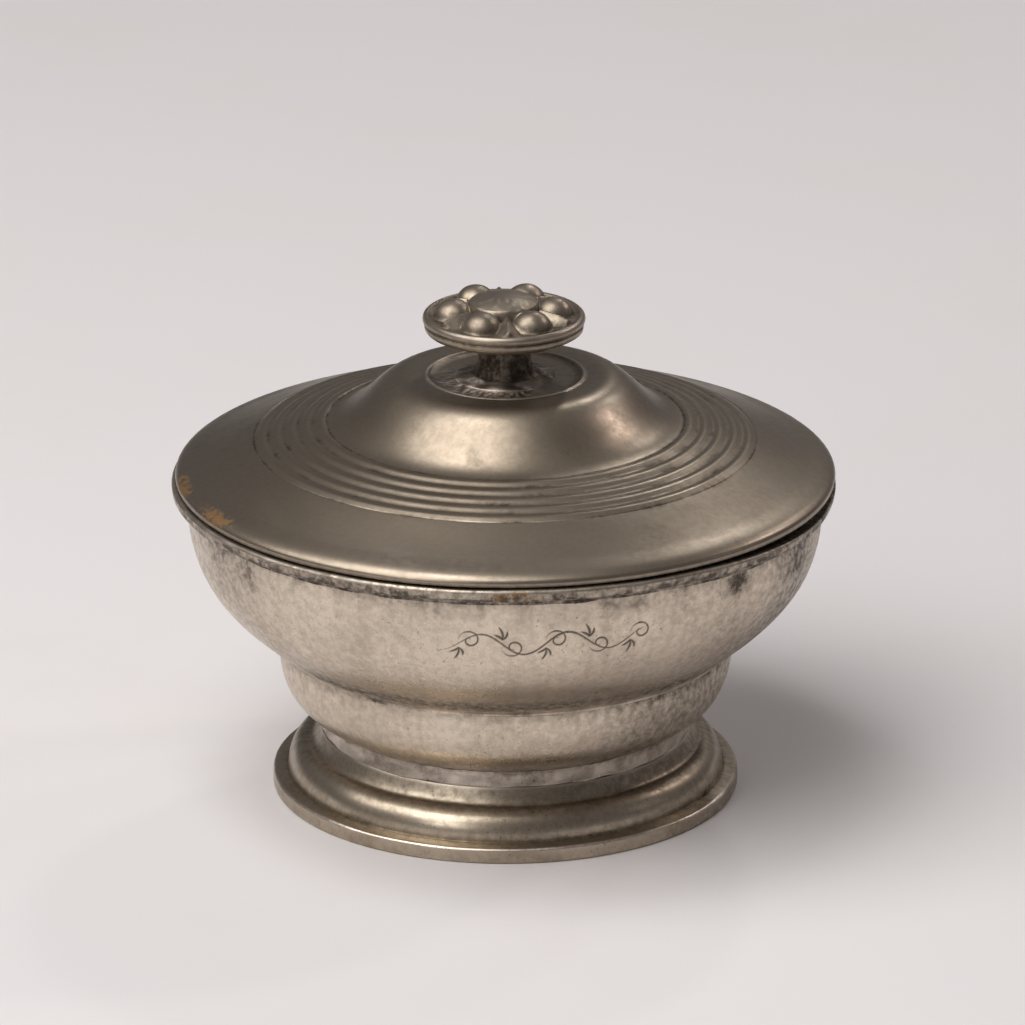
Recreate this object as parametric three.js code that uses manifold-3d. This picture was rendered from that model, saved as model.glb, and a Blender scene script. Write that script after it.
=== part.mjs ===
// A lidded pewter sugar bowl: a moulded foot, a bowl cast in two halves with a rim band, and a
// lift-off lid with a rosette knob. Each casting and each solder seam is a mesh of its own.
// Millimetres, +Z up. The foot stands on z = 0, and the axis of every turned piece is the Z axis.

import * as THREE from "three";
import { mergeVertices } from "three/addons/utils/BufferGeometryUtils.js";
import Module from "manifold-3d";

const wasm = await Module();
wasm.setup();

// Driving dimensions.
const FACETS = 40; // round every turned piece, so that neighbours keep their clearance
const PETAL_FACETS = 16;
const SEAT_GAP = 0.3; // between two pieces that are seated on or soldered to each other

const FOOT_HEIGHT = 12.0;
const FOOT_PLATE_HEIGHT = 3.0;
const FOOT_PLATE_SLOPE = 0.4; // how far its top rises towards the groove
const FOOT_PLATE_WIDTH = 2.9; // from the groove out to the edge that stands on the table
const FOOT_GROOVE_EASE = 0.3; // leg of the slope from the plate into the groove
const FOOT_SWELL_WIDTH = 4.0; // of the convex swelling between the groove and the shelf
const FOOT_SHELF_WIDTH = 2.3; // of the narrow shelf outside the lip
const FOOT_SHELF_HEIGHT = 8.8;
const FOOT_LIP_WIDTH = 6.0; // from the bowl's base out to the lip
const FOOT_LIP_HEIGHT = 0.9;
const FOOT_LIP_EASE = 0.2; // height of the slope under the lip
const FOOT_NECK_DEPTH = 0.6; // how far the neck is drawn in under the lip
const FOOT_WALL = 1.9;
const FOOT_SEAT_WIDTH = 2.5; // of the ring in the foot's top that carries the bowl's base
const FOOT_SOLDER_START = 1.0; // from the edge of the bowl's base out to the solder
const FOOT_SOLDER_INSET = 1.2; // from the solder's top edge out to the lip
const FOOT_SOLDER_LEAN = 0.4; // how much wider the solder is at its bottom
const THINNEST = 0.1; // of a feathered edge

const WALL = 1.8; // of the bowl
const BASE_RADIUS = 30.0; // of the flat underside of the bowl, on the foot
const BASE_THICKNESS = 1.8;
const BELLY_RADIUS = 43.9; // of the lower half, just under the seam
const BELLY_UPRIGHT = 1.2; // upright stretch of the lower half under the seam
const SEAM_HEIGHT = 30.3; // of the solder seam between the two halves
const SEAM_STEP = 1.2; // how far the upper half stands out from the belly at the seam
const SEAM_LAND = 3.2; // width of the upper half's lower edge
const SEAM_SOLDER = 0.6; // thickness of the solder in the seam

const BOWL_RADIUS = 61.2; // outside of the wall at the mouth
const BOWL_HEIGHT = 62.4; // of the mouth above the table
const MOUTH_UPRIGHT = 4.5; // upright stretch of the wall under the mouth
const RIM_PROUD = 3.1; // how far the rim band stands out from the wall
const RIM_DEPTH = 2.5;
const RIM_ROUND = 0.5;
const RIM_FILLET = 1.1; // leg of the solder fillet under the rim band

const LID_SETBACK = 0.8; // how far the lid's edge stays inside the rim band
const LID_WALL = 1.6;
const LID_EDGE = 0.6; // height of the lid's upright edge
const LID_BROW_WIDTH = 2.5; // of the rolled edge, and its height above the seat
const LID_BROW_HEIGHT = 2.7;
const LID_LAND = 3.4; // width of the flat face that rests on the rim
const LID_EDGE_DRAFT = 0.1; // how far the edge draws in towards the seat
const LID_HOLLOW_MARGIN = 0.5; // between the hollow's curve and the face that rests
const LID_CEILING_EASE = 1.5; // width of the slope from the flat ceiling into the dome
const REEDS = 5;
const REED_RADIUS = 48.4; // outside of the reeded zone
const REED_HEIGHT = 7.5; // of its outside above the lid's seat
const REED_CREST = 0.35;
const DOME_RADIUS = 34.3; // of the dome's foot, inside the reeded zone
const DOME_FOOT_HEIGHT = 11.1; // above the lid's seat
const DOME_CROWN_RADIUS = 19.0;
const DOME_HEIGHT = 20.3; // above the lid's seat
const RIDGE_RADIUS = 15.0; // of the fine ridge round the knob's seat
const RIDGE_WIDTH = 1.2;
const RIDGE_CREST = 0.3;
const RIDGE_SLOPE = 1.0; // width of the slope from the knob's seat up to the ridge
const KNOB_SEAT_DISH = 0.4; // depth of the knob's seat below the crown

const BEZEL_CLEARANCE = 0.6; // between the lid's bezel and the bowl's mouth
const BEZEL_WALL = 1.6;
const BEZEL_DEPTH = 5.0; // below the mouth
const BEZEL_CHAMFER = 0.4;
const BEZEL_FILLET = 1.5; // leg of the solder fillet inside the bezel

const STEM_RADIUS = 5.0;
const STEM_FLARE = 2.2; // how much wider the stem's base is
const STEM_FLARE_HEIGHT = 4.4;
const STEM_HEIGHT = 6.5;
const STEM_SMEAR = 2.0; // width of the solder smeared round the stem
const STEM_SMEAR_HEIGHT = 0.7;
const KNOB_RADIUS = 15.6; // of the bead round the rosette
const CUP_SETBACK = 0.3; // of the cup's edge inside the bead
const CUP_NECK_MARGIN = 0.6; // between the stem and the start of the cup's curve
const CUP_HEIGHT = 3.7; // of the knob's underside, from the stem to the rosette
const CUP_EDGE = 0.6;
const CUP_EASE = 0.2; // how far the edge draws in at its top
const CUP_WALL = 1.8;
const CUP_WELL_WIDTH = 1.6; // of the slope round the floor of the cup's well
const CUP_WELL_HEIGHT = 1.0;
const ROSETTE_PLATE = 1.2; // thickness of the plate under the rosette's petals
const BEAD_WIDTH = 1.6;
const BEAD_HEIGHT = 0.85;
const BEAD_RISE = 0.7; // of the bead's widest line above the underside of the plate
const BEAD_UNDERCUT = 0.5; // how far the bead draws in below that line
const PETALS = 6;
const PETAL_RADIUS = 3.6;
const PETAL_HEIGHT = 3.6;
const PETAL_MARGIN = 0.8; // between a petal and the bead
const PETAL_TURN = -26; // degrees that the first petal is turned from the front
const LEAF_INNER = 5.0; // radius where a leaf starts
const LEAF_MARGIN = 0.4; // between a leaf's tip and the bead
const LEAF_WIDTH = 4.4;
const LEAF_HEIGHT = 1.8;
const BOSS_RADIUS = 6.9;
const BOSS_FOOT = 0.3; // width of the boss's sloped foot
const BOSS_SIDE = 3.0; // height of the boss's side above the plate
const BOSS_CROWN = 1.3;

// Sizes that follow from the driving dimensions.
const FOOT_BORE_RADIUS = BASE_RADIUS - FOOT_SEAT_WIDTH;
const FOOT_LIP_RADIUS = BASE_RADIUS + FOOT_LIP_WIDTH;
const FOOT_SHELF_RADIUS = FOOT_LIP_RADIUS + FOOT_SHELF_WIDTH;
const FOOT_GROOVE_RADIUS = FOOT_SHELF_RADIUS + FOOT_SWELL_WIDTH;
const FOOT_RADIUS = FOOT_GROOVE_RADIUS + FOOT_PLATE_WIDTH;
const BASE_SEAT = FOOT_HEIGHT + SEAT_GAP;
const BELLY_TOP = SEAM_HEIGHT - SEAM_SOLDER / 2 - SEAT_GAP;
const UPPER_START = SEAM_HEIGHT + SEAM_SOLDER / 2 + SEAT_GAP;
const SEAM_RADIUS = BELLY_RADIUS + SEAM_STEP;
const SEAM_INNER_RADIUS = SEAM_RADIUS - SEAM_LAND;
const MOUTH_RADIUS = BOWL_RADIUS - WALL;
const RIM_RADIUS = BOWL_RADIUS + RIM_PROUD;
const RIM_FOOT = BOWL_HEIGHT - RIM_DEPTH;
const LID_RADIUS = RIM_RADIUS - LID_SETBACK;
const LID_SEAT = BOWL_HEIGHT + SEAT_GAP;
const KNOB_SEAT = DOME_HEIGHT - KNOB_SEAT_DISH;
const BEZEL_RADIUS = MOUTH_RADIUS - BEZEL_CLEARANCE;
const STEM_TOP = SEAT_GAP + STEM_HEIGHT;
const CUP_START = STEM_TOP + SEAT_GAP;
const CUP_TOP = CUP_START + CUP_HEIGHT;
const ROSETTE_START = CUP_TOP + SEAT_GAP;
const ROSETTE_TOP = ROSETTE_START + ROSETTE_PLATE;
const CUP_RADIUS = KNOB_RADIUS - CUP_SETBACK;
const BEAD_INNER_RADIUS = KNOB_RADIUS - BEAD_WIDTH;
const PETAL_CIRCLE = BEAD_INNER_RADIUS - PETAL_MARGIN - PETAL_RADIUS;
const LEAF_TIP = BEAD_INNER_RADIUS - LEAF_MARGIN;

// A point of an outline: its radius from the axis and its height.
function at(radius, height) {
  return new THREE.Vector2(radius, height);
}

// A smooth run between two points, which leaves and arrives along the two given handles.
function bow(from, leaving, arriving, to, steps) {
  const curve = new THREE.CubicBezierCurve(
    from,
    from.clone().add(leaving),
    to.clone().add(arriving),
    to,
  );
  return curve.getPoints(steps);
}

// A quarter of an ellipse, from one end of its axes to the other, angles in degrees.
function quarter(centre, width, height, startDegrees, steps) {
  const start = THREE.MathUtils.degToRad(startDegrees);
  const end = start + Math.PI / 2;
  return new THREE.EllipseCurve(centre.x, centre.y, width, height, start, end).getPoints(steps);
}

// The outline moved by a distance to the right of its direction of travel.
function offset(outline, distance) {
  return outline.map((point, i) => {
    const before = outline[Math.max(i - 1, 0)];
    const after = outline[Math.min(i + 1, outline.length - 1)];
    const along = after.clone().sub(before).normalize();
    return at(point.x + along.y * distance, point.y - along.x * distance);
  });
}

// The height of an outline at a radius, between its two nearest points.
function heightAt(outline, radius) {
  for (let i = 1; i < outline.length; i++) {
    const [a, b] = [outline[i - 1], outline[i]];
    if ((a.x - radius) * (b.x - radius) <= 0 && a.x !== b.x) {
      return THREE.MathUtils.mapLinear(radius, a.x, b.x, a.y, b.y);
    }
  }
  throw new Error("the outline doesn't reach radius " + radius);
}

// The outline without points that repeat the one before.
function withoutRepeats(outline) {
  return outline.filter((point, i) => i === 0 || point.distanceTo(outline[i - 1]) > 1e-6);
}

// The outline counter-clockwise, which makes a turned piece's faces point out.
function counterClockwise(outline) {
  return THREE.ShapeUtils.area(outline) < 0 ? [...outline].reverse() : outline;
}

// The solid of revolution of a closed outline, about Z. One that touches the axis ends there.
function turned(outline, facets = FACETS) {
  const ring = counterClockwise(withoutRepeats(outline));
  const onAxis = ring.some((point) => point.x === 0);
  if (!onAxis) {
    ring.push(ring[0].clone());
  }
  return new THREE.LatheGeometry(ring, facets).rotateX(Math.PI / 2);
}

// A closed geometry as a solid that can be joined and cut.
function solidOf(geometry) {
  const bare = geometry.clone();
  bare.deleteAttribute("normal");
  bare.deleteAttribute("uv");
  const merged = mergeVertices(bare, 1e-4);
  return new wasm.Manifold(
    new wasm.Mesh({
      numProp: 3,
      vertProperties: merged.attributes.position.array,
      triVerts: new Uint32Array(merged.index.array),
    }),
  );
}

// A joined solid as a geometry again.
function geometryOf(solid) {
  const mesh = solid.getMesh();
  return new THREE.BufferGeometry()
    .setAttribute("position", new THREE.BufferAttribute(mesh.vertProperties, 3))
    .setIndex(new THREE.BufferAttribute(mesh.triVerts, 1));
}

// The finishes: one metal, worn and tarnished by different amounts.
function bowlPewter() {
  return new THREE.MeshStandardMaterial({ color: 0xa79d92, roughness: 0.38, metalness: 0.9 });
}

function lidPewter() {
  return new THREE.MeshStandardMaterial({ color: 0x7c756a, roughness: 0.34, metalness: 0.9 });
}

function footPewter() {
  return new THREE.MeshStandardMaterial({ color: 0x8a8172, roughness: 0.32, metalness: 0.9 });
}

function knobPewter() {
  return new THREE.MeshStandardMaterial({ color: 0x847c71, roughness: 0.3, metalness: 0.9 });
}

function darkSolder() {
  return new THREE.MeshStandardMaterial({ color: 0x4c463f, roughness: 0.6, metalness: 0.7 });
}

// A named piece.
function piece(name, geometry, material) {
  const mesh = new THREE.Mesh(geometry, material);
  mesh.name = name;
  return mesh;
}

// The foot: a flat plate, a groove, a convex swelling, a narrow shelf, a hollow neck and a lip.
// It is hollow underneath, and its top is a flat ring that carries the bowl.
function footRing() {
  const grooveHeight = FOOT_PLATE_HEIGHT + FOOT_PLATE_SLOPE;
  const neckRadius = FOOT_LIP_RADIUS - FOOT_NECK_DEPTH;
  const lipFoot = FOOT_HEIGHT - FOOT_LIP_HEIGHT;
  const swellWidth = FOOT_GROOVE_RADIUS - FOOT_SHELF_RADIUS;
  const swellHeight = FOOT_SHELF_HEIGHT - grooveHeight;
  const neckWidth = FOOT_SHELF_RADIUS - neckRadius;
  const neckHeight = lipFoot - FOOT_SHELF_HEIGHT;
  const outside = [
    at(FOOT_RADIUS, 0),
    at(FOOT_RADIUS, FOOT_PLATE_HEIGHT),
    at(FOOT_GROOVE_RADIUS + FOOT_GROOVE_EASE, grooveHeight + FOOT_GROOVE_EASE),
    ...quarter(at(FOOT_SHELF_RADIUS, grooveHeight), swellWidth, swellHeight, 0, 6),
    ...bow(
      at(FOOT_SHELF_RADIUS, FOOT_SHELF_HEIGHT),
      at(-neckWidth * 0.8, neckHeight * 0.1),
      at(0, -neckHeight * 0.7),
      at(neckRadius, lipFoot),
      3,
    ),
    at(FOOT_LIP_RADIUS, lipFoot + FOOT_LIP_EASE),
    at(FOOT_LIP_RADIUS, FOOT_HEIGHT),
  ];
  const inside = [
    at(FOOT_BORE_RADIUS, FOOT_HEIGHT),
    at(FOOT_BORE_RADIUS, FOOT_HEIGHT - FOOT_WALL),
    ...bow(
      at(neckRadius - FOOT_WALL, FOOT_HEIGHT - FOOT_WALL),
      at(0, -neckHeight),
      at(0, swellHeight),
      at(FOOT_GROOVE_RADIUS - FOOT_WALL, 0),
      5,
    ),
  ];
  return piece("foot_ring", turned([...outside, ...inside]), footPewter());
}

// The outside of the bowl's lower half, from the flat base up to the seam.
function bellyOutline(steps) {
  const foot = at(BASE_RADIUS, BASE_SEAT);
  const top = at(BELLY_RADIUS, BELLY_TOP - BELLY_UPRIGHT);
  const rise = top.y - foot.y;
  const spread = top.x - foot.x;
  return bow(foot, at(spread * 0.39, rise * 0.21), at(0, -rise * 0.75), top, steps);
}

// The lower half of the bowl: a flat base and a belly that swells up to the seam.
function bowlLower() {
  const floor = BASE_SEAT + BASE_THICKNESS;
  const insideFoot = at(BASE_RADIUS - BASE_THICKNESS / 2, floor);
  const insideTop = at(SEAM_INNER_RADIUS, BELLY_TOP - BELLY_UPRIGHT);
  const rise = insideTop.y - floor;
  const spread = insideTop.x - insideFoot.x;
  const outline = [
    at(0, BASE_SEAT),
    ...bellyOutline(7),
    at(BELLY_RADIUS, BELLY_TOP),
    at(SEAM_INNER_RADIUS, BELLY_TOP),
    ...bow(insideTop, at(0, -rise * 0.75), at(spread * 0.5, rise * 0.12), insideFoot, 5),
    at(0, floor),
  ];
  return piece("bowl_lower", turned(outline), bowlPewter());
}

// One side of the bowl's upper half, from the seam up to the upright stretch under the mouth.
function wallOutline(seamRadius, mouthRadius, steps) {
  const foot = at(seamRadius, UPPER_START);
  const top = at(mouthRadius, BOWL_HEIGHT - MOUTH_UPRIGHT);
  const rise = top.y - foot.y;
  const spread = top.x - foot.x;
  return bow(foot, at(spread * 0.53, rise * 0.26), at(0, -rise * 0.54), top, steps);
}

// The upper half of the bowl: a wall that opens from the seam to an upright mouth.
function bowlUpper() {
  const outside = wallOutline(SEAM_RADIUS, BOWL_RADIUS, 9);
  const inside = wallOutline(SEAM_INNER_RADIUS, MOUTH_RADIUS, 7);
  const outline = [
    ...outside,
    at(BOWL_RADIUS, BOWL_HEIGHT),
    at(MOUTH_RADIUS, BOWL_HEIGHT),
    ...inside.reverse(),
  ];
  return piece("bowl_upper", turned(outline), bowlPewter());
}

// The solder between the two halves of the bowl.
function bowlSeamSolder() {
  const foot = BELLY_TOP + SEAT_GAP;
  const outline = [
    at(SEAM_INNER_RADIUS, foot),
    at(BELLY_RADIUS, foot),
    at(BELLY_RADIUS, foot + SEAM_SOLDER),
    at(SEAM_INNER_RADIUS, foot + SEAM_SOLDER),
  ];
  return piece("bowl_seam_solder", turned(outline), darkSolder());
}

// The solder between the foot's top and the bowl's underside, which follows the belly.
function footSolder() {
  const widest = FOOT_LIP_RADIUS - FOOT_SOLDER_INSET;
  const clear = offset(bellyOutline(24), SEAT_GAP);
  const start = BASE_RADIUS + FOOT_SOLDER_START;
  const middle = (start + widest) / 2;
  const outline = [
    at(start, BASE_SEAT),
    at(widest + FOOT_SOLDER_LEAN, BASE_SEAT),
    at(widest, heightAt(clear, widest)),
    at(middle, heightAt(clear, middle)),
    at(start, Math.max(heightAt(clear, start), BASE_SEAT + THINNEST)),
  ];
  return piece("foot_solder", turned(outline), darkSolder());
}

// The band that stiffens the mouth: a rectangular hoop with rounded outer edges.
function rimBand() {
  const bore = BOWL_RADIUS + SEAT_GAP;
  const roundCentre = RIM_RADIUS - RIM_ROUND;
  const outline = [
    at(bore, RIM_FOOT),
    ...quarter(at(roundCentre, RIM_FOOT + RIM_ROUND), RIM_ROUND, RIM_ROUND, -90, 2),
    ...quarter(at(roundCentre, BOWL_HEIGHT - RIM_ROUND), RIM_ROUND, RIM_ROUND, 0, 2),
    at(bore, BOWL_HEIGHT),
  ];
  return piece("rim_band", turned(outline), bowlPewter());
}

// The solder fillet in the corner under the rim band.
function rimSolder() {
  const corner = at(BOWL_RADIUS + SEAT_GAP, RIM_FOOT - SEAT_GAP);
  const outline = [
    corner,
    at(corner.x, corner.y - RIM_FILLET),
    at(corner.x + RIM_FILLET / 3, corner.y - RIM_FILLET / 3),
    at(corner.x + RIM_FILLET, corner.y),
  ];
  return piece("rim_solder", turned(outline), darkSolder());
}

// The dome of the lid, from its crown down to its foot, as an S.
function domeOutline(steps) {
  const crown = at(DOME_CROWN_RADIUS, DOME_HEIGHT);
  const foot = at(DOME_RADIUS, DOME_FOOT_HEIGHT);
  const width = foot.x - crown.x;
  const drop = crown.y - foot.y;
  return bow(crown, at(width * 0.41, 0), at(-width * 0.45, drop * 0.19), foot, steps);
}

// The shoulder of the lid, a shallow hollow from the reeded zone out to the rolled edge.
function shoulderOutline(steps) {
  const start = at(REED_RADIUS, REED_HEIGHT);
  const brow = at(LID_RADIUS - LID_BROW_WIDTH, LID_BROW_HEIGHT);
  const width = brow.x - start.x;
  const drop = start.y - brow.y;
  return bow(start, at(width * 0.25, -drop * 0.34), at(-width * 0.36, drop * 0.26), brow, steps);
}

// The rolled edge of the lid, from the shoulder down to the upright edge.
function browOutline(steps) {
  const brow = at(LID_RADIUS - LID_BROW_WIDTH, LID_BROW_HEIGHT);
  const edge = at(LID_RADIUS, LID_EDGE);
  const drop = brow.y - edge.y;
  return bow(brow, at(LID_BROW_WIDTH * 0.6, -drop * 0.2), at(0, drop * 0.45), edge, steps);
}

// The reeded zone: convex reeds side by side on a cone, each half a sine wave high.
function reedOutline() {
  const stepsPerReed = 2;
  const steps = REEDS * stepsPerReed;
  return Array.from({ length: steps + 1 }, (_, i) => {
    const share = i / steps;
    const crest = REED_CREST * Math.abs(Math.sin(Math.PI * REEDS * share));
    return at(
      THREE.MathUtils.lerp(DOME_RADIUS, REED_RADIUS, share),
      THREE.MathUtils.lerp(DOME_FOOT_HEIGHT, REED_HEIGHT, share) + crest,
    );
  });
}

// The inside of the lid, from its middle out to the face that rests on the rim.
function lidUnderside() {
  const ceiling = KNOB_SEAT - LID_WALL;
  const landStart = LID_RADIUS - LID_LAND;
  const smooth = [...domeOutline(6), ...shoulderOutline(4)];
  const hollow = offset(smooth, LID_WALL).filter(
    (point) =>
      point.x < landStart - LID_HOLLOW_MARGIN &&
      point.y < ceiling &&
      point.y > LID_HOLLOW_MARGIN,
  );
  const nearLand = hollow[hollow.length - 1];
  return [
    at(0, ceiling),
    at(hollow[0].x - LID_CEILING_EASE, ceiling),
    ...hollow,
    at(landStart, nearLand.y * 0.6),
    at(landStart, 0),
  ];
}

// The lid: knob seat, fine ridge, dome, reeds and shoulder over a hollow underside.
function lidCover() {
  const ridgeInside = RIDGE_RADIUS - RIDGE_WIDTH / 2;
  const ridgeOutside = RIDGE_RADIUS + RIDGE_WIDTH / 2;
  const outline = [
    at(0, KNOB_SEAT),
    at(ridgeInside - RIDGE_SLOPE, KNOB_SEAT),
    at(ridgeInside, DOME_HEIGHT - KNOB_SEAT_DISH / 2),
    at(RIDGE_RADIUS, DOME_HEIGHT + RIDGE_CREST / 2),
    at(ridgeOutside, DOME_HEIGHT - RIDGE_CREST / 2),
    ...domeOutline(7),
    ...reedOutline(),
    ...shoulderOutline(4),
    ...browOutline(4),
    at(LID_RADIUS - LID_EDGE_DRAFT, 0),
    ...lidUnderside().reverse(),
  ];
  return piece("lid_cover", turned(outline), lidPewter());
}

// The height under the lid that a piece soldered inside it can reach at a radius.
function underLid(radius) {
  return heightAt(lidUnderside(), radius) - SEAT_GAP;
}

// The bezel: a plain hoop under the lid that drops into the bowl's mouth.
function lidBezel() {
  const bore = BEZEL_RADIUS - BEZEL_WALL;
  const foot = -SEAT_GAP - BEZEL_DEPTH;
  const outline = [
    at(bore, foot + BEZEL_CHAMFER),
    at(bore + BEZEL_CHAMFER, foot),
    at(BEZEL_RADIUS - BEZEL_CHAMFER, foot),
    at(BEZEL_RADIUS, foot + BEZEL_CHAMFER),
    at(BEZEL_RADIUS, underLid(BEZEL_RADIUS)),
    at(bore, underLid(BEZEL_RADIUS)),
  ];
  return piece("lid_bezel", turned(outline), lidPewter());
}

// The solder fillet in the corner between the bezel and the lid.
function bezelSolder() {
  const outer = BEZEL_RADIUS - BEZEL_WALL - SEAT_GAP;
  const inner = outer - BEZEL_FILLET;
  const outline = [
    at(outer, underLid(outer)),
    at(inner, underLid(inner)),
    at(outer, underLid(outer) - BEZEL_FILLET),
  ];
  return piece("bezel_solder", turned(outline), darkSolder());
}

// The stem of the knob, which flares at its base.
function knobStem() {
  const flared = at(STEM_RADIUS + STEM_FLARE, SEAT_GAP);
  const waist = at(STEM_RADIUS, SEAT_GAP + STEM_FLARE_HEIGHT);
  const outline = [
    at(0, SEAT_GAP),
    ...bow(flared, at(-STEM_FLARE * 0.7, STEM_FLARE_HEIGHT * 0.1), at(0, -STEM_FLARE_HEIGHT * 0.6), waist, 4),
    at(STEM_RADIUS, STEM_TOP),
    at(0, STEM_TOP),
  ];
  return piece("knob_stem", turned(outline), knobPewter());
}

// The solder smeared round the stem's base.
function knobSolder() {
  const inner = STEM_RADIUS + STEM_FLARE + SEAT_GAP;
  const outline = [
    at(inner, SEAT_GAP),
    at(inner + STEM_SMEAR, SEAT_GAP),
    at(inner + STEM_SMEAR * 0.4, SEAT_GAP + STEM_SMEAR_HEIGHT * 0.4),
    at(inner, SEAT_GAP + STEM_SMEAR_HEIGHT),
  ];
  return piece("knob_solder", turned(outline), darkSolder());
}

// The underside of the knob: a saucer on the stem, open under the rosette.
function knobCup() {
  const shoulder = STEM_RADIUS + CUP_NECK_MARGIN;
  const edge = at(CUP_RADIUS, CUP_TOP - CUP_EDGE);
  const spread = edge.x - shoulder;
  const rise = edge.y - CUP_START;
  const wellFloor = CUP_START + CUP_WALL;
  const outline = [
    at(0, CUP_START),
    ...bow(at(shoulder, CUP_START), at(spread * 0.5, rise * 0.22), at(0, -rise * 0.45), edge, 6),
    at(CUP_RADIUS - CUP_EASE, CUP_TOP),
    at(CUP_RADIUS - CUP_WALL, CUP_TOP),
    at(CUP_RADIUS - CUP_WALL - CUP_WELL_WIDTH, wellFloor + CUP_WELL_HEIGHT),
    at(shoulder, wellFloor),
    at(0, wellFloor),
  ];
  return piece("knob_cup", turned(outline), knobPewter());
}

// The rosette's plate, with the bead round its edge and the boss in its middle.
function rosettePlate() {
  const bead = at(KNOB_RADIUS - BEAD_WIDTH / 2, ROSETTE_START + BEAD_RISE);
  const bossFoot = ROSETTE_TOP + BOSS_SIDE;
  return turned([
    at(0, ROSETTE_START),
    at(KNOB_RADIUS - BEAD_UNDERCUT, ROSETTE_START),
    ...quarter(bead, BEAD_WIDTH / 2, BEAD_HEIGHT, 0, 3),
    at(BEAD_INNER_RADIUS, ROSETTE_TOP),
    at(BOSS_RADIUS + BOSS_FOOT, ROSETTE_TOP),
    ...quarter(at(0, bossFoot), BOSS_RADIUS, BOSS_CROWN, 0, 5),
  ]);
}

// One petal: an upright boss with a round top, standing in the plate.
function petal(turn) {
  const sunk = ROSETTE_PLATE / 2;
  const dome = turned(
    [
      at(0, -sunk),
      at(PETAL_RADIUS, -sunk),
      ...quarter(at(0, 0), PETAL_RADIUS, PETAL_HEIGHT, 0, 5),
    ],
    PETAL_FACETS,
  );
  return dome.translate(0, -PETAL_CIRCLE, ROSETTE_TOP).rotateZ(turn);
}

// One leaf: a flat pointed blade between two petals, tip outwards.
function leaf(turn) {
  const sunk = ROSETTE_PLATE / 2;
  const middle = (LEAF_INNER + LEAF_TIP) / 2;
  const blade = new THREE.Shape();
  blade.moveTo(0, -LEAF_INNER);
  blade.quadraticCurveTo(LEAF_WIDTH, -middle, 0, -LEAF_TIP);
  blade.quadraticCurveTo(-LEAF_WIDTH, -middle, 0, -LEAF_INNER);
  const height = LEAF_HEIGHT + sunk;
  const slab = new THREE.ExtrudeGeometry(blade, {
    depth: height,
    bevelEnabled: false,
    curveSegments: 5,
  });
  return slab.translate(0, 0, ROSETTE_TOP - sunk).rotateZ(turn);
}

// The rosette: petals and leaves by turns round the boss, joined to the plate.
function knobRosette() {
  const step = (2 * Math.PI) / PETALS;
  let joined = solidOf(rosettePlate());
  for (let i = 0; i < PETALS; i++) {
    const turn = THREE.MathUtils.degToRad(PETAL_TURN) + i * step;
    joined = joined.add(solidOf(petal(turn))).add(solidOf(leaf(turn + step / 2)));
  }
  return piece("knob_rosette", geometryOf(joined), knobPewter());
}

// The knob, built up from its seat on the lid.
function knob() {
  const group = new THREE.Group();
  group.add(knobStem(), knobSolder(), knobCup(), knobRosette());
  group.position.z = KNOB_SEAT;
  return group;
}

// The lid with its knob, built up from the face that rests on the rim.
function lid() {
  const group = new THREE.Group();
  group.add(lidCover(), lidBezel(), bezelSolder(), knob());
  group.position.z = LID_SEAT;
  return group;
}

// The bowl on its foot.
function bowl() {
  const group = new THREE.Group();
  group.add(footRing(), footSolder(), bowlLower(), bowlSeamSolder(), bowlUpper());
  group.add(rimBand(), rimSolder());
  return group;
}

const sugarBowl = new THREE.Group();
sugarBowl.add(bowl(), lid());

export default sugarBowl;
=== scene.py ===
"""Looks of a lidded pewter sugar bowl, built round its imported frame.

Lengths in this file are millimetres until a mesh is made. Azimuths are degrees from the front,
positive to the right, and heights are above the table.
"""

import logging
import math
from collections.abc import Callable, Sequence
from dataclasses import dataclass, field
from enum import Enum

import bpy
import numpy as np
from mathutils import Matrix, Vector


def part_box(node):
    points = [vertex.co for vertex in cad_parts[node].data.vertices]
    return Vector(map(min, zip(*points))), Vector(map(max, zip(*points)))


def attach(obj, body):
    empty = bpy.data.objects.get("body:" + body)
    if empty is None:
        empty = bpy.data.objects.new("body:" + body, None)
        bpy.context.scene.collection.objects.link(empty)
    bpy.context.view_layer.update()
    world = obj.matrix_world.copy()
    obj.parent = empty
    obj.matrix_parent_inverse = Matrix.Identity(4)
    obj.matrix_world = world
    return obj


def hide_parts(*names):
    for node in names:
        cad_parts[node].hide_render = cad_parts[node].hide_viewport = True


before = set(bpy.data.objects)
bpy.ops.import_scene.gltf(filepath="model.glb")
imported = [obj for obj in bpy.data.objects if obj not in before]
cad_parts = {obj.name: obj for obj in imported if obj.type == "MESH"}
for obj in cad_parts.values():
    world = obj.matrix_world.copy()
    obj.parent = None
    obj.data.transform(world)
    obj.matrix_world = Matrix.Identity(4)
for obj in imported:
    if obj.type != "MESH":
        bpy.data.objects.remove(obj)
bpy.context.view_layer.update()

METRES = 0.001  # one millimetre
FINE_STEP = 0.04  # along an outline while its corners are being worn
BELL_REACH = 3.5  # widths of the wearing bell on each side
ON_AXIS = 1e-9  # the radius under which a point counts as on the axis

log = logging.getLogger("sugar_bowl")

Array = np.ndarray
Point = tuple[float, float]
Colour = tuple[float, float, float]
Field = Callable[[Array, Array, Array], Array]  # of azimuth in radians, radius and height


class Mark(Enum):
    """What the metal has picked up, with painted shade among the dirt, each a share from 0 to 1 on
    the points of a mesh.
    """

    # dirt, and painted shade on darker sides, undersides and hollows of the bowl, its band and the
    # foot
    GRIME_AND_SHADE = "grime"
    WEAR = "wear"
    STAIN = "stain"
    CUT = "cut"


class Body(Enum):
    """The bodies of the frame that pieces ride on."""

    BOWL = "bowl"
    LID = "lid"


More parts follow.
